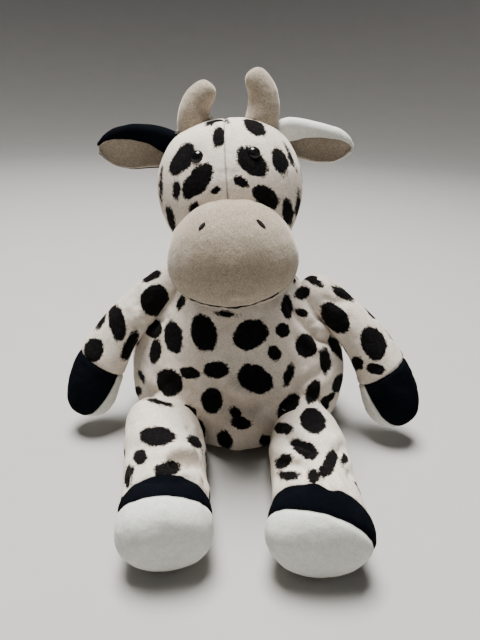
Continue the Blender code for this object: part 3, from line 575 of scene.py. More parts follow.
def markSeams(piece, planes=()):
    # How far each point lies from the piece's seams, which the pile shaders use to paint shade in the
    # seam grooves
    points = pointsOf(piece)
    gap = np.full(len(points), farOff)
    for place, way in planes:
        gap = np.minimum(gap, np.abs((points - np.array(place)) @ np.array(Vector(way).normalized())))
    layer = piece.data.attributes.new("seamGap", "FLOAT", "POINT")
    layer.data.foreach_set("value", gap.astype(np.float32))


# Spots. Each is a middle, width, height and tilt in the photo, cast on the form under it.
spotting = {
    "leastFacing": 0.45,  # a steeper surface is taken as turned this far to the camera
    "drawnFrom": 0.16,  # how far a surface faces the camera before it takes the spots as drawn
    "drawnOver": 0.12,
    "depth": 1.6,  # how far off its plane a spot reaches, in its own radii
    "gap": 1.9 * mm,
    "tries": 900,
    "stretch": (1.0, 1.45),
}
farOff = 0.02  # the distance given to points with no spot or seam near


def castSpot(tree, x, y, wide, high, tilt):
    hit, normal, _, _ = tree.ray_cast(cameraPlace, pixelRay(x, y))
    if hit is None:
        return None
    facing, least = -normal.dot(pixelRay(x, y)), spotting["leastFacing"]
    if facing < least:
        normal = (normal - pixelRay(x, y) * (least - facing)).normalized()

    def onSurface(px, py):
        ray = pixelRay(px, py)
        along = (hit - cameraPlace).dot(normal) / ray.dot(normal)
        return cameraPlace + ray * along

    turn = math.radians(tilt)
    halves = []
    for dx, dy, half in (
        (math.cos(turn), -math.sin(turn), wide / 2),
        (math.sin(turn), math.cos(turn), high / 2),
    ):
        far, near = onSurface(x + dx * half, y + dy * half), onSurface(x - dx * half, y - dy * half)
        halves.append((far - near) / 2)
    return hit, normal, halves[0], halves[1]


def looseSpot(place, normal, rng, low, high):
    across = normal.orthogonal().normalized()
    across.rotate(Matrix.Rotation(rng.uniform(0.0, math.pi), 3, normal))
    along = normal.cross(across)
    radius = rng.uniform(low, high)
    stretch = rng.uniform(*spotting["stretch"])
    return place, normal, across * radius, along * (radius * stretch)


def spotEdges(points, spots):
    # How far each point lies outside the nearest spot, less than nothing inside one
    nearest = np.full(len(points), farOff)
    for centre, normal, first, second in spots:
        basis = np.array([first, second, normal]).T
        local = (points - np.array(centre)) @ np.linalg.inv(basis).T
        away = np.hypot(local[:, 0], local[:, 1])
        edge = (away - 1.0) * min(first.length, second.length)
        depth = np.abs(local[:, 2])
        edge = np.where(depth > spotting["depth"] * max(first.length, second.length), farOff, edge)
        nearest = np.minimum(nearest, edge)
    return nearest


def photoEdges(points, drawn):
    # The same, measured in the photo's plane and turned back to metres
    turn = np.array(cameraTurn)
    near = (points - np.array(cameraPlace)) @ turn
    scale = view["focal"] / -near[:, 2]
    x = view["imageWide"] / 2 + near[:, 0] * scale
    y = view["imageHigh"] / 2 - near[:, 1] * scale
    nearest = np.full(len(points), farOff)
    for middleX, middleY, wide, high, tilt in drawn:
        tilt = math.radians(tilt)
        aside, down = x - middleX, y - middleY
        first = (aside * math.cos(tilt) - down * math.sin(tilt)) / (wide / 2)
        second = (aside * math.sin(tilt) + down * math.cos(tilt)) / (high / 2)
        edge = (np.hypot(first, second) - 1.0) * min(wide, high) / 2 / scale
        nearest = np.minimum(nearest, edge)
    return nearest


def scatter(form, spots, smooth, rng, low, high):
    # Fills what the photo doesn't show with more spots of the same kind, flat over the folds
    points = pointsOf(form)
    trees = list(smoothTrees.values())
    found = list(spots)
    for _ in range(spotting["tries"]):
        index = rng.randrange(len(points))
        place, normal = smooth.find_nearest(Vector(points[index]))[:2]
        spot = looseSpot(place, normal, rng, low, high)
        rim = [place, place + spot[2], place - spot[2], place + spot[3], place - spot[3]]
        if any(seenByCamera(spotPoint, normal, trees) for spotPoint in rim):
            continue
        reach = (spot[2].length + spot[3].length) / 2 + spotting["gap"]
        if all((place - other[0]).length > reach + (other[2].length + other[3].length) / 2
               for other in found):
            found.append(spot)
    return found


def seenByCamera(place, normal, trees):
    way = cameraPlace - place
    distance = way.length
    way.normalize()
    if normal.dot(way) < -0.05:
        return False
    start = place + normal * (2.0 * mm) + way * (5.0 * mm)
    return all(tree.ray_cast(start, way, distance)[0] is None for tree in trees)


def paintSpots(panel, spots, drawn=(), smooth=None):
    # Points that face the camera take the spots as drawn, the others as they lie on the surface
    points = pointsOf(panel)
    edges = spotEdges(points, spots)
    if drawn:
        loose = spotEdges(points, spots[len(drawn):])
        normals = np.array([smooth.find_nearest(point)[1] for point in map(Vector, points)])
        way = np.array(cameraPlace) - points
        facing = np.sum(normals * way, axis=1) / np.linalg.norm(way, axis=1)
        share = np.clip((facing - spotting["drawnFrom"]) / spotting["drawnOver"], 0.0, 1.0)
        edges = share * np.minimum(photoEdges(points, drawn), loose) + (1.0 - share) * edges
    layer = panel.data.attributes.new("spotEdge", "FLOAT", "POINT")
    layer.data.foreach_set("value", edges.astype(np.float32))


# Joint places
neckPlace = Vector(joints["head"]["pos_m"])
shoulder = {word: Vector(joints[f"arm_{word}"]["pos_m"]) for word, _ in sides}
hip = {word: Vector(joints[f"leg_{word}"]["pos_m"]) for word, _ in sides}
headRight = Vector(joints["head"]["axis"]).normalized()  # across the head, towards its left ear
headUp = Vector((-headRight.z, 0.0, headRight.x))


def headPoint(across, back, up):
    return neckPlace + headRight * across + Vector((0.0, back, 0.0)) + headUp * up


headTurn = Matrix((headRight, (0.0, 1.0, 0.0), headUp)).transposed()


def headWay(across, back, up):
    return headTurn @ Vector((across, back, up))


def clampedToFloor(form):
    points = pointsOf(form)
    points[:, 2] = np.maximum(points[:, 2], 0.15 * mm)
    movePoints(form, points)


smoothTrees = {}  # each form before its folds, to cast the photo's places on


def makeForm(name, look, nodeNames, balls, heldAt, seams, onFloor=False):
    form = fusedForm(name, nodeNames, look["voxel"], balls)
    flattenFacets(form, look["smoothing"])
    blowUp(form, heldAt, look["spare"], look["cap"])
    smoothSubdivide(form, 1)
    lump(form, *look["lumps"])
    smoothTrees[name] = treeOf(form)
    for pixels, depth, reach in photoFolds.get(name, ()):
        pressLine(form, smoothTrees[name], pixels, depth * mm, reach * mm)
    crease(form, seams, look["seamDepth"], look["seamReach"])
    if onFloor:
        clampedToFloor(form)
    print(name, "holds", len(form.data.vertices), "points")
    return form


def nearness(*places):
    # 1 inside a ball, falling to 0 over a few millimetres outside it
    def held(point):
        close = min((point - place).length - radius for place, radius in places)
        return max(0.0, min(1.0, 1.0 - close / (5.0 * mm)))
    return held


# Folds as the photo shows them: a line of pixels, how deep and how wide in millimetres
photoFolds = {
    "bodyForm": (
        (((238, 426),), -6.0, 16.0),
        (((302, 276),), -2.6, 7.0),
        (((224, 388), (256, 392)), -2.6, 6.0),
        (((220, 396), (236, 405), (264, 404)), 4.0, 4.6),
        (((205, 352), (216, 385), (236, 402)), 0.9, 3.5),
        (((147, 325), (165, 318)), 2.4, 2.6),
        (((286, 296), (297, 316), (318, 338), (345, 345)), 3.0, 2.8),
        (((290, 330), (306, 352), (309, 376)), 1.3, 3.0),
        (((146, 384), (168, 386), (194, 398), (212, 418)), -1.7, 8.0),
        (((338, 384), (316, 386), (292, 400), (274, 422)), -1.7, 8.0),
        (((158, 377), (190, 389), (214, 410)), 1.6, 3.0),
        (((330, 366), (303, 384), (280, 408)), 1.6, 3.0),
        (((217, 452), (243, 452), (270, 448)), 1.6, 2.0),
        (((176, 296), (184, 320), (180, 345)), 1.2, 3.6),
    ),
    "legForm_right": (
        (((140, 414),), -5.0, 13.0),
        (((169, 393),), 3.6, 6.5),
        (((150, 464), (166, 455), (184, 451), (197, 455)), -3.0, 4.6),
        (((166, 463), (184, 462), (202, 467)), 4.2, 3.6),
        (((126, 449), (140, 447), (156, 452)), 1.4, 3.4),
        (((141, 481), (165, 480), (193, 481)), 1.4, 1.8),
        (((126, 478), (126, 490)), 1.6, 2.6),
        (((203, 476), (205, 488)), 1.6, 2.6),
        (((185, 424), (205, 440)), 1.6, 3.6),
    ),
    "legForm_left": (
        (((276, 520),), -2.2, 11.0),
        (((340, 414),), -5.0, 13.0),
        (((305, 401),), 3.6, 6.5),
        (((276, 434), (292, 440), (320, 452)), 3.6, 3.4),
        (((288, 452), (306, 460)), -2.4, 5.5),
        (((303, 462), (305, 481)), 2.4, 2.6),
        (((318, 470), (334, 490)), 2.2, 2.6),
        (((334, 455), (350, 444)), 2.6, 3.2),
        (((277, 462), (292, 466), (300, 470)), 1.6, 2.0),
        (((277, 470), (278, 484)), 1.4, 2.4),
        (((349, 470), (352, 482)), 1.4, 2.6),
    ),
    "armForm_left": (
        (((322, 276),), 1.6, 6.0),
        (((322, 296), (334, 303), (350, 300)), 1.5, 2.6),
        (((327, 330), (340, 327)), 1.4, 2.4),
    ),
    "armForm_right": (
        (((146, 286),), -1.6, 9.0),
        (((140, 286), (136, 297), (139, 310)), 1.2, 2.4),
        (((145, 322), (134, 330)), 1.4, 2.4),
    ),
    "muzzleForm": ((((238, 303),), 1.2, 2.6),),
    "hornForm_left": ((((250.5, 103),), 1.3, 5.0),),
    "hornForm_right": ((((207.5, 112),), 0.9, 4.5),),
}


# Body: a front panel and two back panels
body = {
    "voxel": 2.0 * mm,
    "smoothing": 14,
    "lumps": (0.8 * mm, 17 * mm, 0.8),
    "spare": -0.035,
    "cap": 1.4 * mm,
    "seamDepth": 0.9 * mm,
    "seamReach": 1.3 * mm,
    "cloth": 0.9 * mm,
    "inset": 3.0 * mm,  # how far the filling lies inside the cover
    "fill": 0.85,
    "sideSeam": (0.0, 0.004, 0.0),
    "shoulderFill": 10.4 * mm,
    "hipFill": 15.0 * mm,
    "neckFill": 14.0 * mm,
}


def makeBodyForm():
    nodeNames = ["body_front_panel", "body_back_panel_left", "body_back_panel_right",
                 "body_stuffing", "seat_pellet_bag", "neck_stuffing"]
    balls = [(shoulder[word], body["shoulderFill"]) for word, _ in sides]
    balls += [(hip[word] + Vector((0, 4 * mm, 2 * mm)), body["hipFill"]) for word, _ in sides]
    balls.append((neckPlace + Vector((0, 0, 5 * mm)), body["neckFill"]))
    joined = nearness(*[(shoulder[word], 12 * mm) for word, _ in sides],
                      *[(hip[word], 20 * mm) for word, _ in sides])

    def held(point):
        return 1.0 if point.z < 1.5 * mm else joined(point)

    seams = [
        (body["sideSeam"], (0, 1, 0)),
        ((0.0, 0.0, 0.0), (1, 0, 0), (body["sideSeam"], (0, -1, 0))),
    ]
    return makeForm("bodyForm", body, nodeNames, balls, held, seams, onFloor=True)


# Head: a left and a right panel, seamed from the crown down the face
head = {
    "voxel": 1.8 * mm,
    "smoothing": 12,
    "lumps": (0.6 * mm, 15 * mm, 0.3),
    "spare": -0.03,
    "cap": 1.2 * mm,
    "seamDepth": 0.8 * mm,
    "seamReach": 1.2 * mm,
    "cloth": 0.9 * mm,
    "inset": 3.0 * mm,  # how far the filling lies inside the cover
    "fill": 0.95,
}


def makeHeadForm():
    nodeNames = ["head_panel_left", "head_panel_right", "head_stuffing",
                 "eye_washer_left", "eye_washer_right"]
    balls = [(neckPlace + headWay(0, 0, 0.018), 16 * mm)]
    held = nearness((neckPlace, 26 * mm))
    seams = [(neckPlace, headWay(1, 0, 0))]
    return makeForm("headForm", head, nodeNames, balls, held, seams)


# Muzzle: an upper panel and a chin panel in velour
muzzle = {
    "voxel": 1.3 * mm,
    "smoothing": 10,
    "lumps": (0.4 * mm, 13 * mm, 0.0),
    "spare": -0.04,
    "cap": 1.0 * mm,
    "seamDepth": 1.0 * mm,
    "seamReach": 1.1 * mm,
    "cloth": 0.8 * mm,
    "fill": 0.95,
    "chinSeam": (0.0, -0.0533, 0.0155),
    "chinWay": (0.0, 0.8387, -0.5446),
}


def makeMuzzleForm():
    nodeNames = ["muzzle_panel", "chin_panel", "muzzle_stuffing"]
    balls = [(headPoint(0, -0.036, 0.036), (0.0270, 0.0200, 0.0222))]
    held = nearness((headPoint(0, -0.010, 0.040), 24 * mm))
    seams = [(headPoint(*muzzle["chinSeam"]), headWay(*muzzle["chinWay"]))]
    return makeForm("muzzleForm", muzzle, nodeNames, balls, held, seams)


# Horns: a front and a back panel each
horn = {
    "voxel": 0.9 * mm,
    "smoothing": 4,
    "lumps": (0.25 * mm, 8 * mm, 0.0),
    "spare": 0.0,
    "cap": 0.2 * mm,
    "seamDepth": 0.55 * mm,
    "seamReach": 0.8 * mm,
    "cloth": 0.7 * mm,
    "inset": 2.4 * mm,  # how far the filling lies inside the cover
    "fill": 0.9,
    "foot": (0.015, 0.0, 0.080),
    "footFill": 8.0 * mm,
}


def makeHornForm(word, side):
    across, back, up = horn["foot"]
    foot = headPoint(side * across, back, up)
    nodeNames = [f"horn_front_{word}", f"horn_back_{word}", f"horn_stuffing_{word}"]
    balls = [(foot, horn["footFill"])]
    seams = [(headPoint(0, 0, 0), (0, 1, 0))]
    held = nearness((foot, horn["footFill"]))
    return makeForm(f"hornForm_{word}", horn, nodeNames, balls, held, seams)


# Arms: spotted sleeve, black hoof outside and white palm inside
arm = {
    "voxel": 1.2 * mm,
    "smoothing": 8,
    "lumps": (0.5 * mm, 11 * mm, 0.5),
    "spare": 0.0,
    "cap": 0.5 * mm,
    "seamDepth": 0.8 * mm,
    "seamReach": 1.1 * mm,
    "cloth": 0.8 * mm,
    "inset": 2.4 * mm,  # how far the filling lies inside the cover
    "fill": 0.75,
    "reach": {"left": (0.047, -0.020, -0.060), "right": (-0.0415, -0.020, -0.060)},
    "wristShare": 0.72,
    "palmTurn": math.radians(40.0),
}


def armSeams(word, side):
    reach = Vector(arm["reach"][word])
    along = reach.normalized()
    wrist = shoulder[word] + reach * arm["wristShare"]
    inward = Vector((-side * math.cos(arm["palmTurn"]), math.sin(arm["palmTurn"]), 0.0))
    inward = (inward - along * inward.dot(along)).normalized()
    return wrist, along, inward


def makeArmForm(word, side):
    wrist, along, inward = armSeams(word, side)
    nodeNames = [f"arm_sleeve_{word}", f"hoof_{word}", f"palm_{word}", f"arm_stuffing_{word}"]
    seams = [(wrist, along), (wrist, inward, (wrist, -along))]
    balls = [(shoulder[word], 11.0 * mm)]
    held = nearness((shoulder[word], 12 * mm))
    return makeForm(f"armForm_{word}", arm, nodeNames, balls, held, seams)


# Legs: spotted cover, black foot top and white sole
leg = {
    "voxel": 1.5 * mm,
    "smoothing": 8,
    "lumps": (0.6 * mm, 13 * mm, 0.35),
    "spare": -0.05,
    "cap": 1.4 * mm,
    "seamDepth": 0.8 * mm,
    "seamReach": 1.1 * mm,
    "cloth": 0.8 * mm,
    "inset": 2.6 * mm,  # how far the filling lies inside the cover
    "fill": 0.8,
    "reach": {"left": (-0.002, -0.075, 0.0), "right": (0.011, -0.075, 0.0)},
    "rises": (0.0160, 0.01975),  # middle of the first and the last ring above the floor
    "ankleShare": {"left": 0.800, "right": 0.765},
    "soleShare": {"left": 0.950, "right": 0.860},
    "footTurn": {"left": math.radians(-12.0), "right": math.radians(-4.0)},
    "ankleTilt": math.radians(-7.0),
    "soleTilt": {"left": math.radians(16.0), "right": math.radians(19.0)},
}


def legSeams(word):
    reach = Vector(leg["reach"][word])
    turnedOut = Matrix.Rotation(leg["footTurn"][word], 3, "Z") @ reach.normalized()
    across = turnedOut.cross(Vector((0.0, 0.0, 1.0)))
    low, high = leg["rises"]

    def spine(share):
        point = hip[word] + reach * share
        point.z = low + (high - low) * share
        return point

    slant = Matrix.Rotation(leg["ankleTilt"], 3, across) @ turnedOut
    face = Matrix.Rotation(-leg["soleTilt"][word], 3, across) @ turnedOut
    return (spine(leg["ankleShare"][word]), slant), (spine(leg["soleShare"][word]), face)


def makeLegForm(word):
    nodeNames = [f"leg_cover_{word}", f"foot_top_{word}", f"foot_sole_{word}",
                 f"leg_stuffing_{word}"]
    balls = [(hip[word] + Vector((0, -2 * mm, 1.5 * mm)), (0.0180, 0.0180, 0.0160))]
    held = nearness((hip[word], 20 * mm))
    return makeForm(f"legForm_{word}", leg, nodeNames, balls, held, legSeams(word), onFloor=True)


bodyForm = makeBodyForm()
headForm = makeHeadForm()
muzzleForm = makeMuzzleForm()
hornForm = {word: makeHornForm(word, side) for word, side in sides}
armForm = {word: makeArmForm(word, side) for word, side in sides}
legForm = {word: makeLegForm(word) for word, _ in sides}
trees = {form.name: treeOf(form) for form in (bodyForm, headForm, muzzleForm)}

# Spots as the photo shows them: x, y, width, height and tilt in degrees, on each form
photoSpots = {
    "headForm": (
        (182.5, 159, 19, 38, -33), (197.6, 181.1, 22, 43, -40), (176.9, 191.4, 8, 18, -3),
        (216.3, 190.2, 7, 13, -56), (218.7, 137, 13, 22, 0), (214.5, 121, 7, 22, -70),
        (226, 119, 5, 9, 20), (254, 125.5, 16, 28, 49), (252.7, 161.9, 23, 37, 47),
        (280.3, 161.5, 15, 31, 20), (289.5, 155.3, 4, 24, 22), (241.2, 181.2, 9, 17, 63),
        (265.5, 197, 19, 31, 52), (287.6, 212.2, 11, 30, 5), (298, 204, 6, 29, -3),
        (171, 220.6, 9, 28, 10), (160.8, 186, 4, 40, 0), (194, 207, 9, 15, -40),
    ),
    "bodyForm": (
        (204.2, 333, 27, 38, 13), (250.3, 335, 29, 38, -64), (173.4, 337, 18, 33, 9),
        (154.9, 351.4, 12, 26, -8), (282.4, 330.4, 14, 16, 20), (274.4, 353, 14, 16, 29),
        (305.5, 346, 21, 26, 20), (325.1, 360.4, 12, 27, 8), (216.7, 370, 17, 27, 88),
        (190, 373, 12, 20, 79), (169, 382.5, 25, 30, 28), (255.2, 379.2, 27, 39, 62),
        (288.3, 374.8, 11, 22, -24), (212.1, 400.2, 22, 26, -5), (313.5, 391, 14, 25, -20),
        (288, 407, 16, 33, -35), (241, 423, 13, 22, 85), (235.5, 413, 9, 17, 35),
        (188.5, 411, 12, 17, 60), (225, 440, 15, 20, 25), (265, 441, 11, 14, 0),
        (225.4, 314.4, 7, 21, 86), (181, 302, 8, 17, -25), (153.3, 328.6, 18, 20, 0),
        (138, 391, 8, 10, 0), (142, 377, 5, 14, 25), (302, 293, 13, 18, -60),
        (287, 307, 11, 25, 5), (302, 313, 8, 15, 70), (294.5, 280, 4, 8, 0),
        (339, 384, 12, 20, -25), (339, 349, 13, 30, 40),
    ),
    "armForm_right": (
        (150.6, 275.6, 11, 21, -65), (154.6, 300, 28, 34, -26), (125.4, 291.8, 10, 24, -45),
        (117.2, 323, 17, 38, 8), (101.1, 322, 6, 17, -30), (130, 346, 13, 31, -28),
        (94, 350, 20, 24, -20), (130, 366, 8, 14, -10),
    ),
    "armForm_left": (
        (313, 279, 10, 25, 60), (342.2, 293, 9, 27, 57), (335.3, 318, 23, 37, 41),
        (373.6, 343.5, 25, 36, 19), (357, 363, 13, 15, 0), (353.5, 377.5, 11, 14, 0),
        (376, 369, 12, 18, 80), (302, 293, 13, 18, -60), (339, 349, 13, 30, 40),
    ),
    "legForm_right": (
        (129.5, 433, 11, 29, -13), (156.9, 436.2, 20, 36, -89), (194.7, 441.3, 11, 17, 49),
        (140, 457, 14, 16, 0), (167.2, 469, 17, 27, -78), (128, 476, 11, 24, -10),
        (134, 404, 9, 14, -20), (204, 430, 10, 24, 35), (158, 402, 5, 28, 78),
        (206, 458, 6, 16, 10), (139, 483, 9, 11, 0),
    ),
    "legForm_left": (
        (312.8, 420.5, 25, 29, 41), (346.9, 422, 9, 28, 5), (305, 449.1, 16, 30, 62),
        (284, 461, 14, 21, -55), (328.5, 464.4, 14, 33, -27), (344.8, 458.5, 8, 17, -18),
        (289, 476, 10, 24, 85), (313, 477, 12, 15, 0), (340, 399.6, 7, 19, 72),
        (321, 398, 6, 14, 80), (283, 428, 12, 22, 85),
    ),
}
# Radii of the spots that the photo doesn't show, in millimetres: large first, then small ones between
spotSizes = {
    "headForm": (3.6, 6.0),
    "bodyForm": (4.2, 7.6),
    "armForm": (3.2, 5.2),
    "legForm": (3.6, 6.2),
}
smallSpot = (1.8, 3.2)
slotNames = {
    "spotted": "spotted_pile",
    "taupe": "taupe_velour",
    "black": "black_pile",
    "white": "white_pile",
}


def finishPanel(panel, planes, look, ridesOn, node, finish):
    markSeams(panel, planes)
    giveThickness(panel, look["cloth"])
    setMaterial(panel, finishes[finish])
    seat(panel, ridesOn, slotNames[finish], node)


def spottedPanel(name, form, planes, look, ridesOn, node, seed):
    # Spots belong to the panel that their middle lies on, so a seam cuts through them
    panel = cutPanel(form, name, planes)
    tree = smoothTrees[form.name]
    found, drawn = [], []
    for photoSpot in photoSpots[form.name]:
        spot = castSpot(tree, *photoSpot)
        if spot and all((spot[0] - Vector(place)).dot(Vector(way)) <= 0.0 for place, way in planes):
            found.append(spot)
            drawn.append(photoSpot)
    rng = random.Random(seed)
    for low, high in (spotSizes[form.name.split("_")[0]], smallSpot):
        found = scatter(panel, found, tree, rng, low * mm, high * mm)
    paintSpots(panel, found, drawn, tree)
    finishPanel(panel, planes, look, ridesOn, node, "spotted")


def plainPanel(name, form, planes, look, ridesOn, node, finish):
    finishPanel(cutPanel(form, name, planes), planes, look, ridesOn, node, finish)


def flip(way):
    return tuple(-value for value in way)


def makeBodyPanels():
    middle = body["sideSeam"]
    front = [(middle, (0, 1, 0))]
    spottedPanel("bodyFront", bodyForm, front, body, "torso", "body_front_panel", 11)
    for word, side in sides:
        planes = [(middle, (0, -1, 0)), ((0.0, 0.0, 0.0), (-side, 0, 0))]
        spottedPanel(f"bodyBack_{word}", bodyForm, planes, body, "torso",
                     f"body_back_panel_{word}", 13 + side)


def makeHeadPanels():
    for word, side in sides:
        planes = [(tuple(neckPlace), tuple(headWay(-side, 0, 0)))]
        spottedPanel(f"headCover_{word}", headForm, planes, head, "head",
                     f"head_panel_{word}", 23 + side)


def makeMuzzlePanels():
    place, way = tuple(headPoint(*muzzle["chinSeam"])), tuple(headWay(*muzzle["chinWay"]))
    plainPanel("muzzleCover", muzzleForm, [(place, way)], muzzle, "head", "muzzle_panel", "taupe")
    plainPanel("chinCover", muzzleForm, [(place, flip(way))], muzzle, "head", "chin_panel", "taupe")


def makeHornPanels():
    place = tuple(headPoint(0, 0, 0))
    for word, _ in sides:
        for part, way in (("front", (0, 1, 0)), ("back", (0, -1, 0))):
            plainPanel(f"horn_{part}Cover_{word}", hornForm[word], [(place, way)], horn, "head",
                       f"horn_{part}_{word}", "taupe")


def makeArmPanels():
    for word, side in sides:
        wrist, along, inward = (tuple(value) for value in armSeams(word, side))
        form, ridesOn = armForm[word], f"arm_{word}"
        past = (wrist, flip(along))
        spottedPanel(f"sleeve_{word}", form, [(wrist, along)], arm, ridesOn,
                     f"arm_sleeve_{word}", 33 + side)
        for name, way, node, finish in (
            ("hoofCover", inward, "hoof", "black"),
            ("palmCover", flip(inward), "palm", "white"),
        ):
            plainPanel(f"{name}_{word}", form, [past, (wrist, way)], arm, ridesOn,
                       f"{node}_{word}", finish)


def makeLegPanels():
    for word, side in sides:
        (ankle, slant), (sole, face) = legSeams(word)
        ankle, slant, sole, face = tuple(ankle), tuple(slant), tuple(sole), tuple(face)
        form, ridesOn = legForm[word], f"leg_{word}"
        spottedPanel(f"legCover_{word}", form, [(ankle, slant), (sole, face)], leg, ridesOn,
                     f"leg_cover_{word}", 43 + side)
        plainPanel(f"footTop_{word}", form, [(ankle, flip(slant)), (sole, face)], leg, ridesOn,
                   f"foot_top_{word}", "black")
        plainPanel(f"footSole_{word}", form, [(sole, flip(face))], leg, ridesOn,
                   f"foot_sole_{word}", "white")


def makeFillings():
    makeFilling(bodyForm, "bodyFilling", "torso", "body_stuffing", body["inset"])
    makeFilling(headForm, "headFilling", "head", "head_stuffing", head["inset"])
    for word, _ in sides:
        for kind, formOf, look, ridesOn in (
            ("horn", hornForm, horn, "head"),
            ("arm", armForm, arm, f"arm_{word}"),
            ("leg", legForm, leg, f"leg_{word}"),
        ):
            makeFilling(formOf[word], f"{kind}Filling_{word}", ridesOn,
                        f"{kind}_stuffing_{word}", look["inset"])


makeBodyPanels()
makeHeadPanels()
makeMuzzlePanels()
makeHornPanels()
makeArmPanels()
makeLegPanels()
makeFillings()
print("panels cut and spotted, fillings made")


# Ears: a pile back and a velour lining, folded forward along the upper edge
ear = {
    "back": {"left": "white", "right": "black"},
    "length": {"left": 0.0360, "right": 0.0380},
    "lift": {"left": math.radians(-13.0), "right": math.radians(9.0)},
    "sweep": math.radians(8.0),
    "cloth": 0.95 * mm,
    "gap": 0.15 * mm,
    "foldRadius": 2.6 * mm,
    "cup": 4.5 * mm,
    "tucked": 0.24,
    # Outline in millimetres at these shares of the length: lower edge, folded edge and flap
    "shares": (-0.24, -0.12, 0.0, 0.12, 0.25, 0.50, 0.75, 0.92, 1.0),
    "lower": {"left": (-1.0, -2.6, -4.2, -6.9, -7.9, -8.7, -7.6, -4.2, -0.4),
              "right": (-1.0, -2.8, -5.0, -8.2, -8.8, -10.8, -10.4, -7.6, -4.2)},
    "upper": {"left": (3.0, 7.0, 9.1, 9.4, 9.4, 8.8, 7.8, 4.9, 1.2),
              "right": (4.0, 7.5, 9.2, 10.1, 10.5, 10.0, 7.2, 2.8, -1.4)},
    "flap": {"left": (3.0, 8.0, 10.5, 9.5, 7.4, 5.3, 4.1, 2.2, 0.8),
             "right": (3.0, 8.0, 11.0, 10.0, 7.8, 6.2, 4.2, 2.2, 0.8)},
    "steps": (48, 44),
}


def earTurn(word, side):
    lift = ear["lift"][word]
    swept = Matrix.Rotation(side * ear["sweep"], 3, "Z")
    return headTurn @ (swept @ Matrix.Rotation(-side * lift, 3, "Y"))


def earHeight(line, word, u):
    # A little of the outline on either side is averaged in, so that it bends and never kinks
    near = [u + step * 0.015 for step in range(-3, 4)]
    return float(np.mean(np.interp(near, ear["shares"], ear[line][word]))) * mm


def earPlace(word, side, u, v):
    # u from the root to the tip, v up from the lower edge, over the fold and down to the flap's hem
    low, high, flap = (earHeight(line, word, u) for line in ("lower", "upper", "flap"))
    radius = min(ear["foldRadius"], 0.8 * flap, 0.25 * (high - low))
    rise, turned, drop = high - radius - low, math.pi * radius, flap - radius
    along = v * (rise + turned + drop)
    if along < rise:
        forward, up = 0.0, low + along
    elif along < rise + turned:
        angle = (along - rise) / radius
        forward, up = radius * (1.0 - math.cos(angle)), high - radius + radius * math.sin(angle)
    else:
        forward, up = 2.0 * radius, high - radius - (along - rise - turned)
    curl = max(0.0, 1.0 - along / (0.75 * rise))
    forward += ear["cup"] * curl * curl * min(1.0, 1.3 - u)
    wave = 0.5 * mm * math.sin(6.0 * u + 2.0 * v) * max(u, 0.0)
    return Vector((side * ear["length"][word] * u, -forward + wave, up))


def makeEar(word, side):
    root = Vector(joints[f"ear_{word}"]["pos_m"])
    turn = earTurn(word, side)
    length, tucked = ear["length"][word], ear["tucked"]
    rows, columns = ear["steps"]
    for layer, away, finish in (("back", -1, ear["back"][word]), ("lining", 1, "taupe")):
        bpy.ops.object.select_all(action="DESELECT")
        bpy.ops.mesh.primitive_grid_add(x_subdivisions=rows, y_subdivisions=columns, size=1.0)
        sheet = bpy.context.object
        sheet.name = f"ear_{layer}Cover_{word}"
        sheet.data.name = sheet.name
        for vert in sheet.data.vertices:
            u = (vert.co.x + 0.5) * (1.0 + tucked) - tucked
            vert.co = root + turn @ earPlace(word, side, u, vert.co.y + 0.5)
        if side < 0:
            pick(sheet)
            bpy.ops.object.mode_set(mode="EDIT")
            bpy.ops.mesh.select_all(action="SELECT")
            bpy.ops.mesh.flip_normals()
            bpy.ops.object.mode_set(mode="OBJECT")
        points, normals = pointsOf(sheet), normalsOf(sheet)
        movePoints(sheet, points + normals * (away * ear["gap"]))
        applyStep(sheet, "SOLIDIFY", thickness=ear["cloth"], offset=float(away))
        applyStep(sheet, "BEVEL", width=0.3 * mm, segments=2, limit_method="ANGLE",
                  angle_limit=math.radians(60))
        smoothSubdivide(sheet, 1)
        softShade(sheet)
        markSeams(sheet)
        setMaterial(sheet, finishes[finish])
        seat(sheet, f"ear_{word}", slotNames[finish], f"ear_{layer}_{word}")


for word, side in sides:
    makeEar(word, side)
print("ears folded")


# Eyes: glossy beads, half sunk in the pile
eye = {"radius": 3.1 * mm, "rise": 0.78, "steps": 32, "spread": 0.25, "startsOff": 15 * mm}


def makeEye(word, side):
    low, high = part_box(f"eye_{word}")
    middle = (low + high) / 2
    outward = headWay(side * eye["spread"], -1, 0.25).normalized()
    hit, normal, _, _ = trees["headForm"].ray_cast(middle + outward * eye["startsOff"], -outward)
    bpy.ops.object.select_all(action="DESELECT")
    bpy.ops.mesh.primitive_circle_add(vertices=eye["steps"], radius=eye["radius"], fill_type="TRIFAN")
    bead = bpy.context.object
    bead.name = f"eyeBead_{word}"
    bead.data.name = bead.name
    angles = [math.radians(degrees) for degrees in range(10, 91, 8)]
    profile = [(math.cos(angle), math.sin(angle) * eye["rise"]) for angle in angles]
    bpy.ops.object.mode_set(mode="EDIT")
    bpy.ops.mesh.select_all(action="SELECT")
    for (wide, rise), (before, riseBefore) in zip(profile, [(1.0, 0.0)] + profile[:-1]):
        if wide < 0.02:
            break
        bpy.ops.mesh.extrude_region_move(
            TRANSFORM_OT_translate={"value": (0, 0, (rise - riseBefore) * eye["radius"])})
        bpy.ops.transform.resize(value=(wide / before, wide / before, 1.0), center_override=(0, 0, 0))
    bpy.ops.mesh.select_all(action="SELECT")
    bpy.ops.mesh.normals_make_consistent(inside=False)
    bpy.ops.object.mode_set(mode="OBJECT")
    turn = normal.to_track_quat("Z", "Y").to_matrix().to_4x4()
    bead.data.transform(Matrix.Translation(hit - normal * (0.1 * mm)) @ turn)
    softShade(bead, 70)
    setMaterial(bead, finishes["bead"])
    seat(bead, "head", "black_gloss", f"eye_{word}")


for word, side in sides:
    makeEye(word, side)


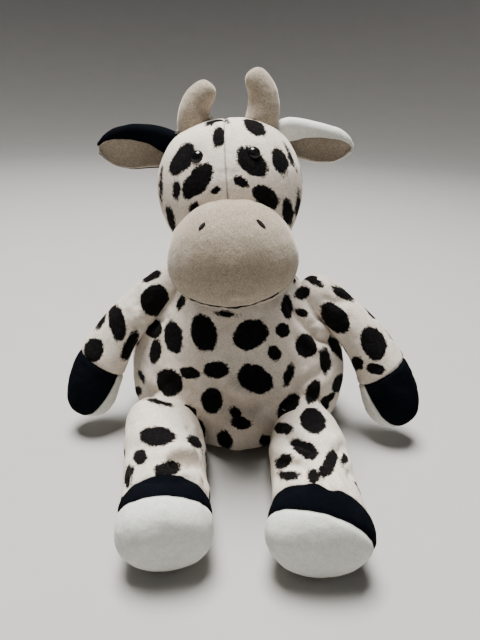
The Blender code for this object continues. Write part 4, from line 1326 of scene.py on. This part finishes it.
# Thread work on the muzzle: two stitched nostrils and the mouth line
thread = {
    "radius": 0.38 * mm,
    "nostrilLength": {"left": 4.7 * mm, "right": 3.7 * mm},
    "nostrilAt": {"left": (261.0, 223.8), "right": (202.0, 226.3)},
    "nostrilTilt": {"left": math.radians(46.0), "right": math.radians(36.0)},
    "nostrilStitches": 7,
    "nostrilHeight": 1.7 * mm,
    "mouthWide": 40.0 * mm,
    "mouthPoints": 41,
    "mouthRadius": 0.7 * mm,
}


def threadAlong(name, runs, radius):
    # One mesh of thread that follows each run of points
    pieces = []
    for run in runs:
        bpy.ops.object.select_all(action="DESELECT")
        bpy.ops.curve.primitive_nurbs_path_add()
        path = bpy.context.object
        path.data.splines.clear()
        line = path.data.splines.new("POLY")
        line.points.add(len(run) - 1)
        for place, point in zip(run, line.points):
            point.co = (*place, 1.0)
        path.data.bevel_depth = radius
        path.data.bevel_resolution = 2
        path.data.use_fill_caps = True
        bpy.ops.object.convert(target="MESH")
        pieces.append(bpy.context.object)
    pick(*pieces)
    if len(pieces) > 1:
        bpy.ops.object.join()
    made = bpy.context.object
    made.name = name
    made.data.name = name
    bpy.ops.object.transform_apply(location=True, rotation=True, scale=True)
    softShade(made, 80)
    setMaterial(made, finishes["thread"])
    return made


def makeNostril(word, side):
    hit, normal, _, _ = trees["muzzleForm"].ray_cast(cameraPlace, pixelRay(*thread["nostrilAt"][word]))
    across = headWay(1, 0, 0)
    across = (across - normal * across.dot(normal)).normalized()
    across.rotate(Matrix.Rotation(-side * thread["nostrilTilt"][word], 3, normal))
    up = normal.cross(across)
    runs = []
    count = thread["nostrilStitches"]
    for index in range(count):
        share = index / (count - 1) - 0.5
        tall = thread["nostrilHeight"] * math.sqrt(1.0 - (1.7 * share) ** 2) * 0.5
        slide = across * (share * (thread["nostrilLength"][word] - 2 * thread["radius"]))
        run = []
        for step in range(7):
            angle = math.pi * step / 6
            spot = hit + slide + up * (math.cos(angle) * tall) + across * (0.25 * mm * math.cos(angle))
            run.append(spot + normal * (math.sin(angle) * 0.5 * mm - 0.35 * mm))
        runs.append(run)
    made = threadAlong(f"nostrilThread_{word}", runs, thread["radius"])
    seat(made, "head", "black_thread", f"nostril_{word}")


def makeMouth():
    place, way = headPoint(*muzzle["chinSeam"]), headWay(*muzzle["chinWay"])
    down = headWay(0.0, -muzzle["chinWay"][2], muzzle["chinWay"][1])
    down = down if down.z < 0 else -down
    run = []
    count = thread["mouthPoints"]
    for index in range(count):
        share = index / (count - 1) - 0.5
        start = place - down * (22 * mm) + headWay(thread["mouthWide"] * share, 0, 0)
        hit, normal, _, _ = trees["muzzleForm"].ray_cast(start, down)
        lift = 0.25 * mm + 0.15 * mm * math.sin(index * math.pi / 2)
        run.append(hit + normal * lift)
    made = threadAlong("mouthThread", [run], thread["mouthRadius"])
    seat(made, "head", "black_thread", "mouth_thread")


for word, side in sides:
    makeNostril(word, side)
makeMouth()
print("face stitched")


# Tail: a cream pile cord with a black tuft
tail = {"voxel": 0.8 * mm, "smoothing": 5}


def makeTail():
    for nodeName, name, finish, slotName in (
        ("tail_cord", "tailCover", "spotted", "spotted_pile"),
        ("tail_tuft", "tuftCover", "black", "black_pile"),
    ):
        piece = fusedForm(name, [nodeName], tail["voxel"])
        flattenFacets(piece, tail["smoothing"])
        smoothSubdivide(piece, 1)
        softShade(piece)
        markSeams(piece)
        if finish == "spotted":
            paintSpots(piece, [])
        setMaterial(piece, finishes[finish])
        seat(piece, "tail", slotName, nodeName)


makeTail()


# Blank woven tape in the right side seam
tape = {
    "flat": (0.012, 0.028),
    "thick": 0.5 * mm,
    "steps": (8, 20),
    "turn": math.radians(14.0),
    "seam": 0.004,
}


def makeTape():
    low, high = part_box("side_tape")
    bpy.ops.object.select_all(action="DESELECT")
    rows, columns = tape["steps"]
    bpy.ops.mesh.primitive_grid_add(x_subdivisions=rows, y_subdivisions=columns, size=1.0)
    piece = bpy.context.object
    piece.name = "sideTapeCloth"
    piece.data.name = piece.name
    (wide, long), turn, seam = tape["flat"], tape["turn"], tape["seam"]
    for vert in piece.data.vertices:
        aside, down = vert.co.x * wide, (0.5 - vert.co.y) * long
        start = Vector((-0.13, seam, high.z - down))
        hit, _, _, _ = trees["bodyForm"].ray_cast(start, Vector((1.0, 0.0, 0.0)))
        away = 0.9 * mm + wide / 2 * math.sin(turn) * min(1.0, down / (4 * mm))
        curl = 0.4 * mm * math.sin(5.0 * vert.co.y + 1.0) * (0.5 - vert.co.y)
        out = hit.x - away - aside * math.sin(turn) + curl
        vert.co = Vector((out, seam + aside * math.cos(turn), high.z - down))
    applyStep(piece, "SOLIDIFY", thickness=tape["thick"], offset=0.0)
    softShade(piece, 40)
    setMaterial(piece, finishes["tape"])
    seat(piece, "torso", "white_tape", "side_tape")


makeTape()
print("tape hung")


# What stays inside keeps its CAD solid and gets its own finish
for name, node in nodes.items():
    if "washer" in name:
        node.material_slots[0].material = finishes["washer"]
    elif "stuffing" in name or "bag" in name:
        node.material_slots[0].material = finishes["fibre"]
paired = [form for kind in (hornForm, armForm, legForm) for form in kind.values()]
for form in [bodyForm, headForm, muzzleForm, *paired]:
    bpy.data.objects.remove(form)


# Floor and soft studio light
studio = {
    "floorRadius": 1.3,
    "sweepRadius": 1.6,  # the floor curves up all round, so that no horizon shows
    "sweepSteps": 14,
    "floorColour": rgb(0.42, 0.41, 0.395),
    "floorLight": rgb(0.46, 0.45, 0.435),
    "world": rgb(0.80, 0.82, 0.85),
    "worldStrength": 0.06,
    "aim": (0.0, -0.02, 0.08),
    # Each lamp's place, size, power and colour
    "lamps": {
        "keyLight": ((-0.12, 0.10, 1.28), (0.50, 0.50), 48.0, (1.0, 0.985, 0.96)),
        "fillLight": ((0.90, -0.70, 0.60), (0.9, 0.9), 0.8, (1.0, 0.98, 0.96)),
        "rimLight": ((0.10, 1.00, 0.90), (0.9, 0.5), 1.0, (1.0, 1.0, 1.0)),
    },
}


def makeFloor():
    bpy.ops.object.select_all(action="DESELECT")
    flat, sweep, steps = studio["floorRadius"], studio["sweepRadius"], studio["sweepSteps"]
    bpy.ops.mesh.primitive_circle_add(vertices=96, radius=flat, fill_type="NGON")
    floor = bpy.context.object
    floor.name = "floor"
    bpy.ops.object.mode_set(mode="EDIT")
    bpy.ops.mesh.select_all(action="SELECT")
    bpy.ops.mesh.region_to_loop()
    before, beforeUp = flat, 0.0
    for step in range(1, steps + 1):
        angle = math.pi / 2 * step / steps
        wide, up = flat + sweep * math.sin(angle), sweep * (1.0 - math.cos(angle))
        bpy.ops.mesh.extrude_edges_move(TRANSFORM_OT_translate={"value": (0, 0, up - beforeUp)})
        bpy.ops.transform.resize(value=(wide / before, wide / before, 1.0), center_override=(0, 0, 0))
        before, beforeUp = wide, up
    bpy.ops.mesh.select_all(action="SELECT")
    bpy.ops.mesh.normals_make_consistent(inside=True)
    bpy.ops.object.mode_set(mode="OBJECT")
    softShade(floor)
    wiring = Wiring("paleFloor")
    grain = wiring.noise(12.0, detail=4.0)
    colour = wiring.mix(grain, studio["floorColour"], studio["floorLight"])
    wiring.surface(colour=colour, rough=wiring.spread(grain, 0.3, 0.7, 0.80, 0.70))
    setMaterial(floor, wiring.material)


def softBox(name, place, size, power, colour):
    lamp = bpy.data.lights.new(name, "AREA")
    lamp.shape = "RECTANGLE"
    lamp.size, lamp.size_y = size
    lamp.energy = power
    lamp.color = colour
    made = bpy.data.objects.new(name, lamp)
    made.location = place
    way = Vector(studio["aim"]) - Vector(place)
    made.rotation_euler = way.to_track_quat("-Z", "Y").to_euler()
    bpy.context.scene.collection.objects.link(made)


def makeLight():
    for name, lamp in studio["lamps"].items():
        softBox(name, *lamp)
    world = bpy.data.worlds.new("studioWorld")
    world.use_nodes = True
    backdrop = world.node_tree.nodes["Background"]
    backdrop.inputs["Color"].default_value = studio["world"]
    backdrop.inputs["Strength"].default_value = studio["worldStrength"]
    bpy.context.scene.world = world


makeFloor()
makeLight()

print("cow dressed")
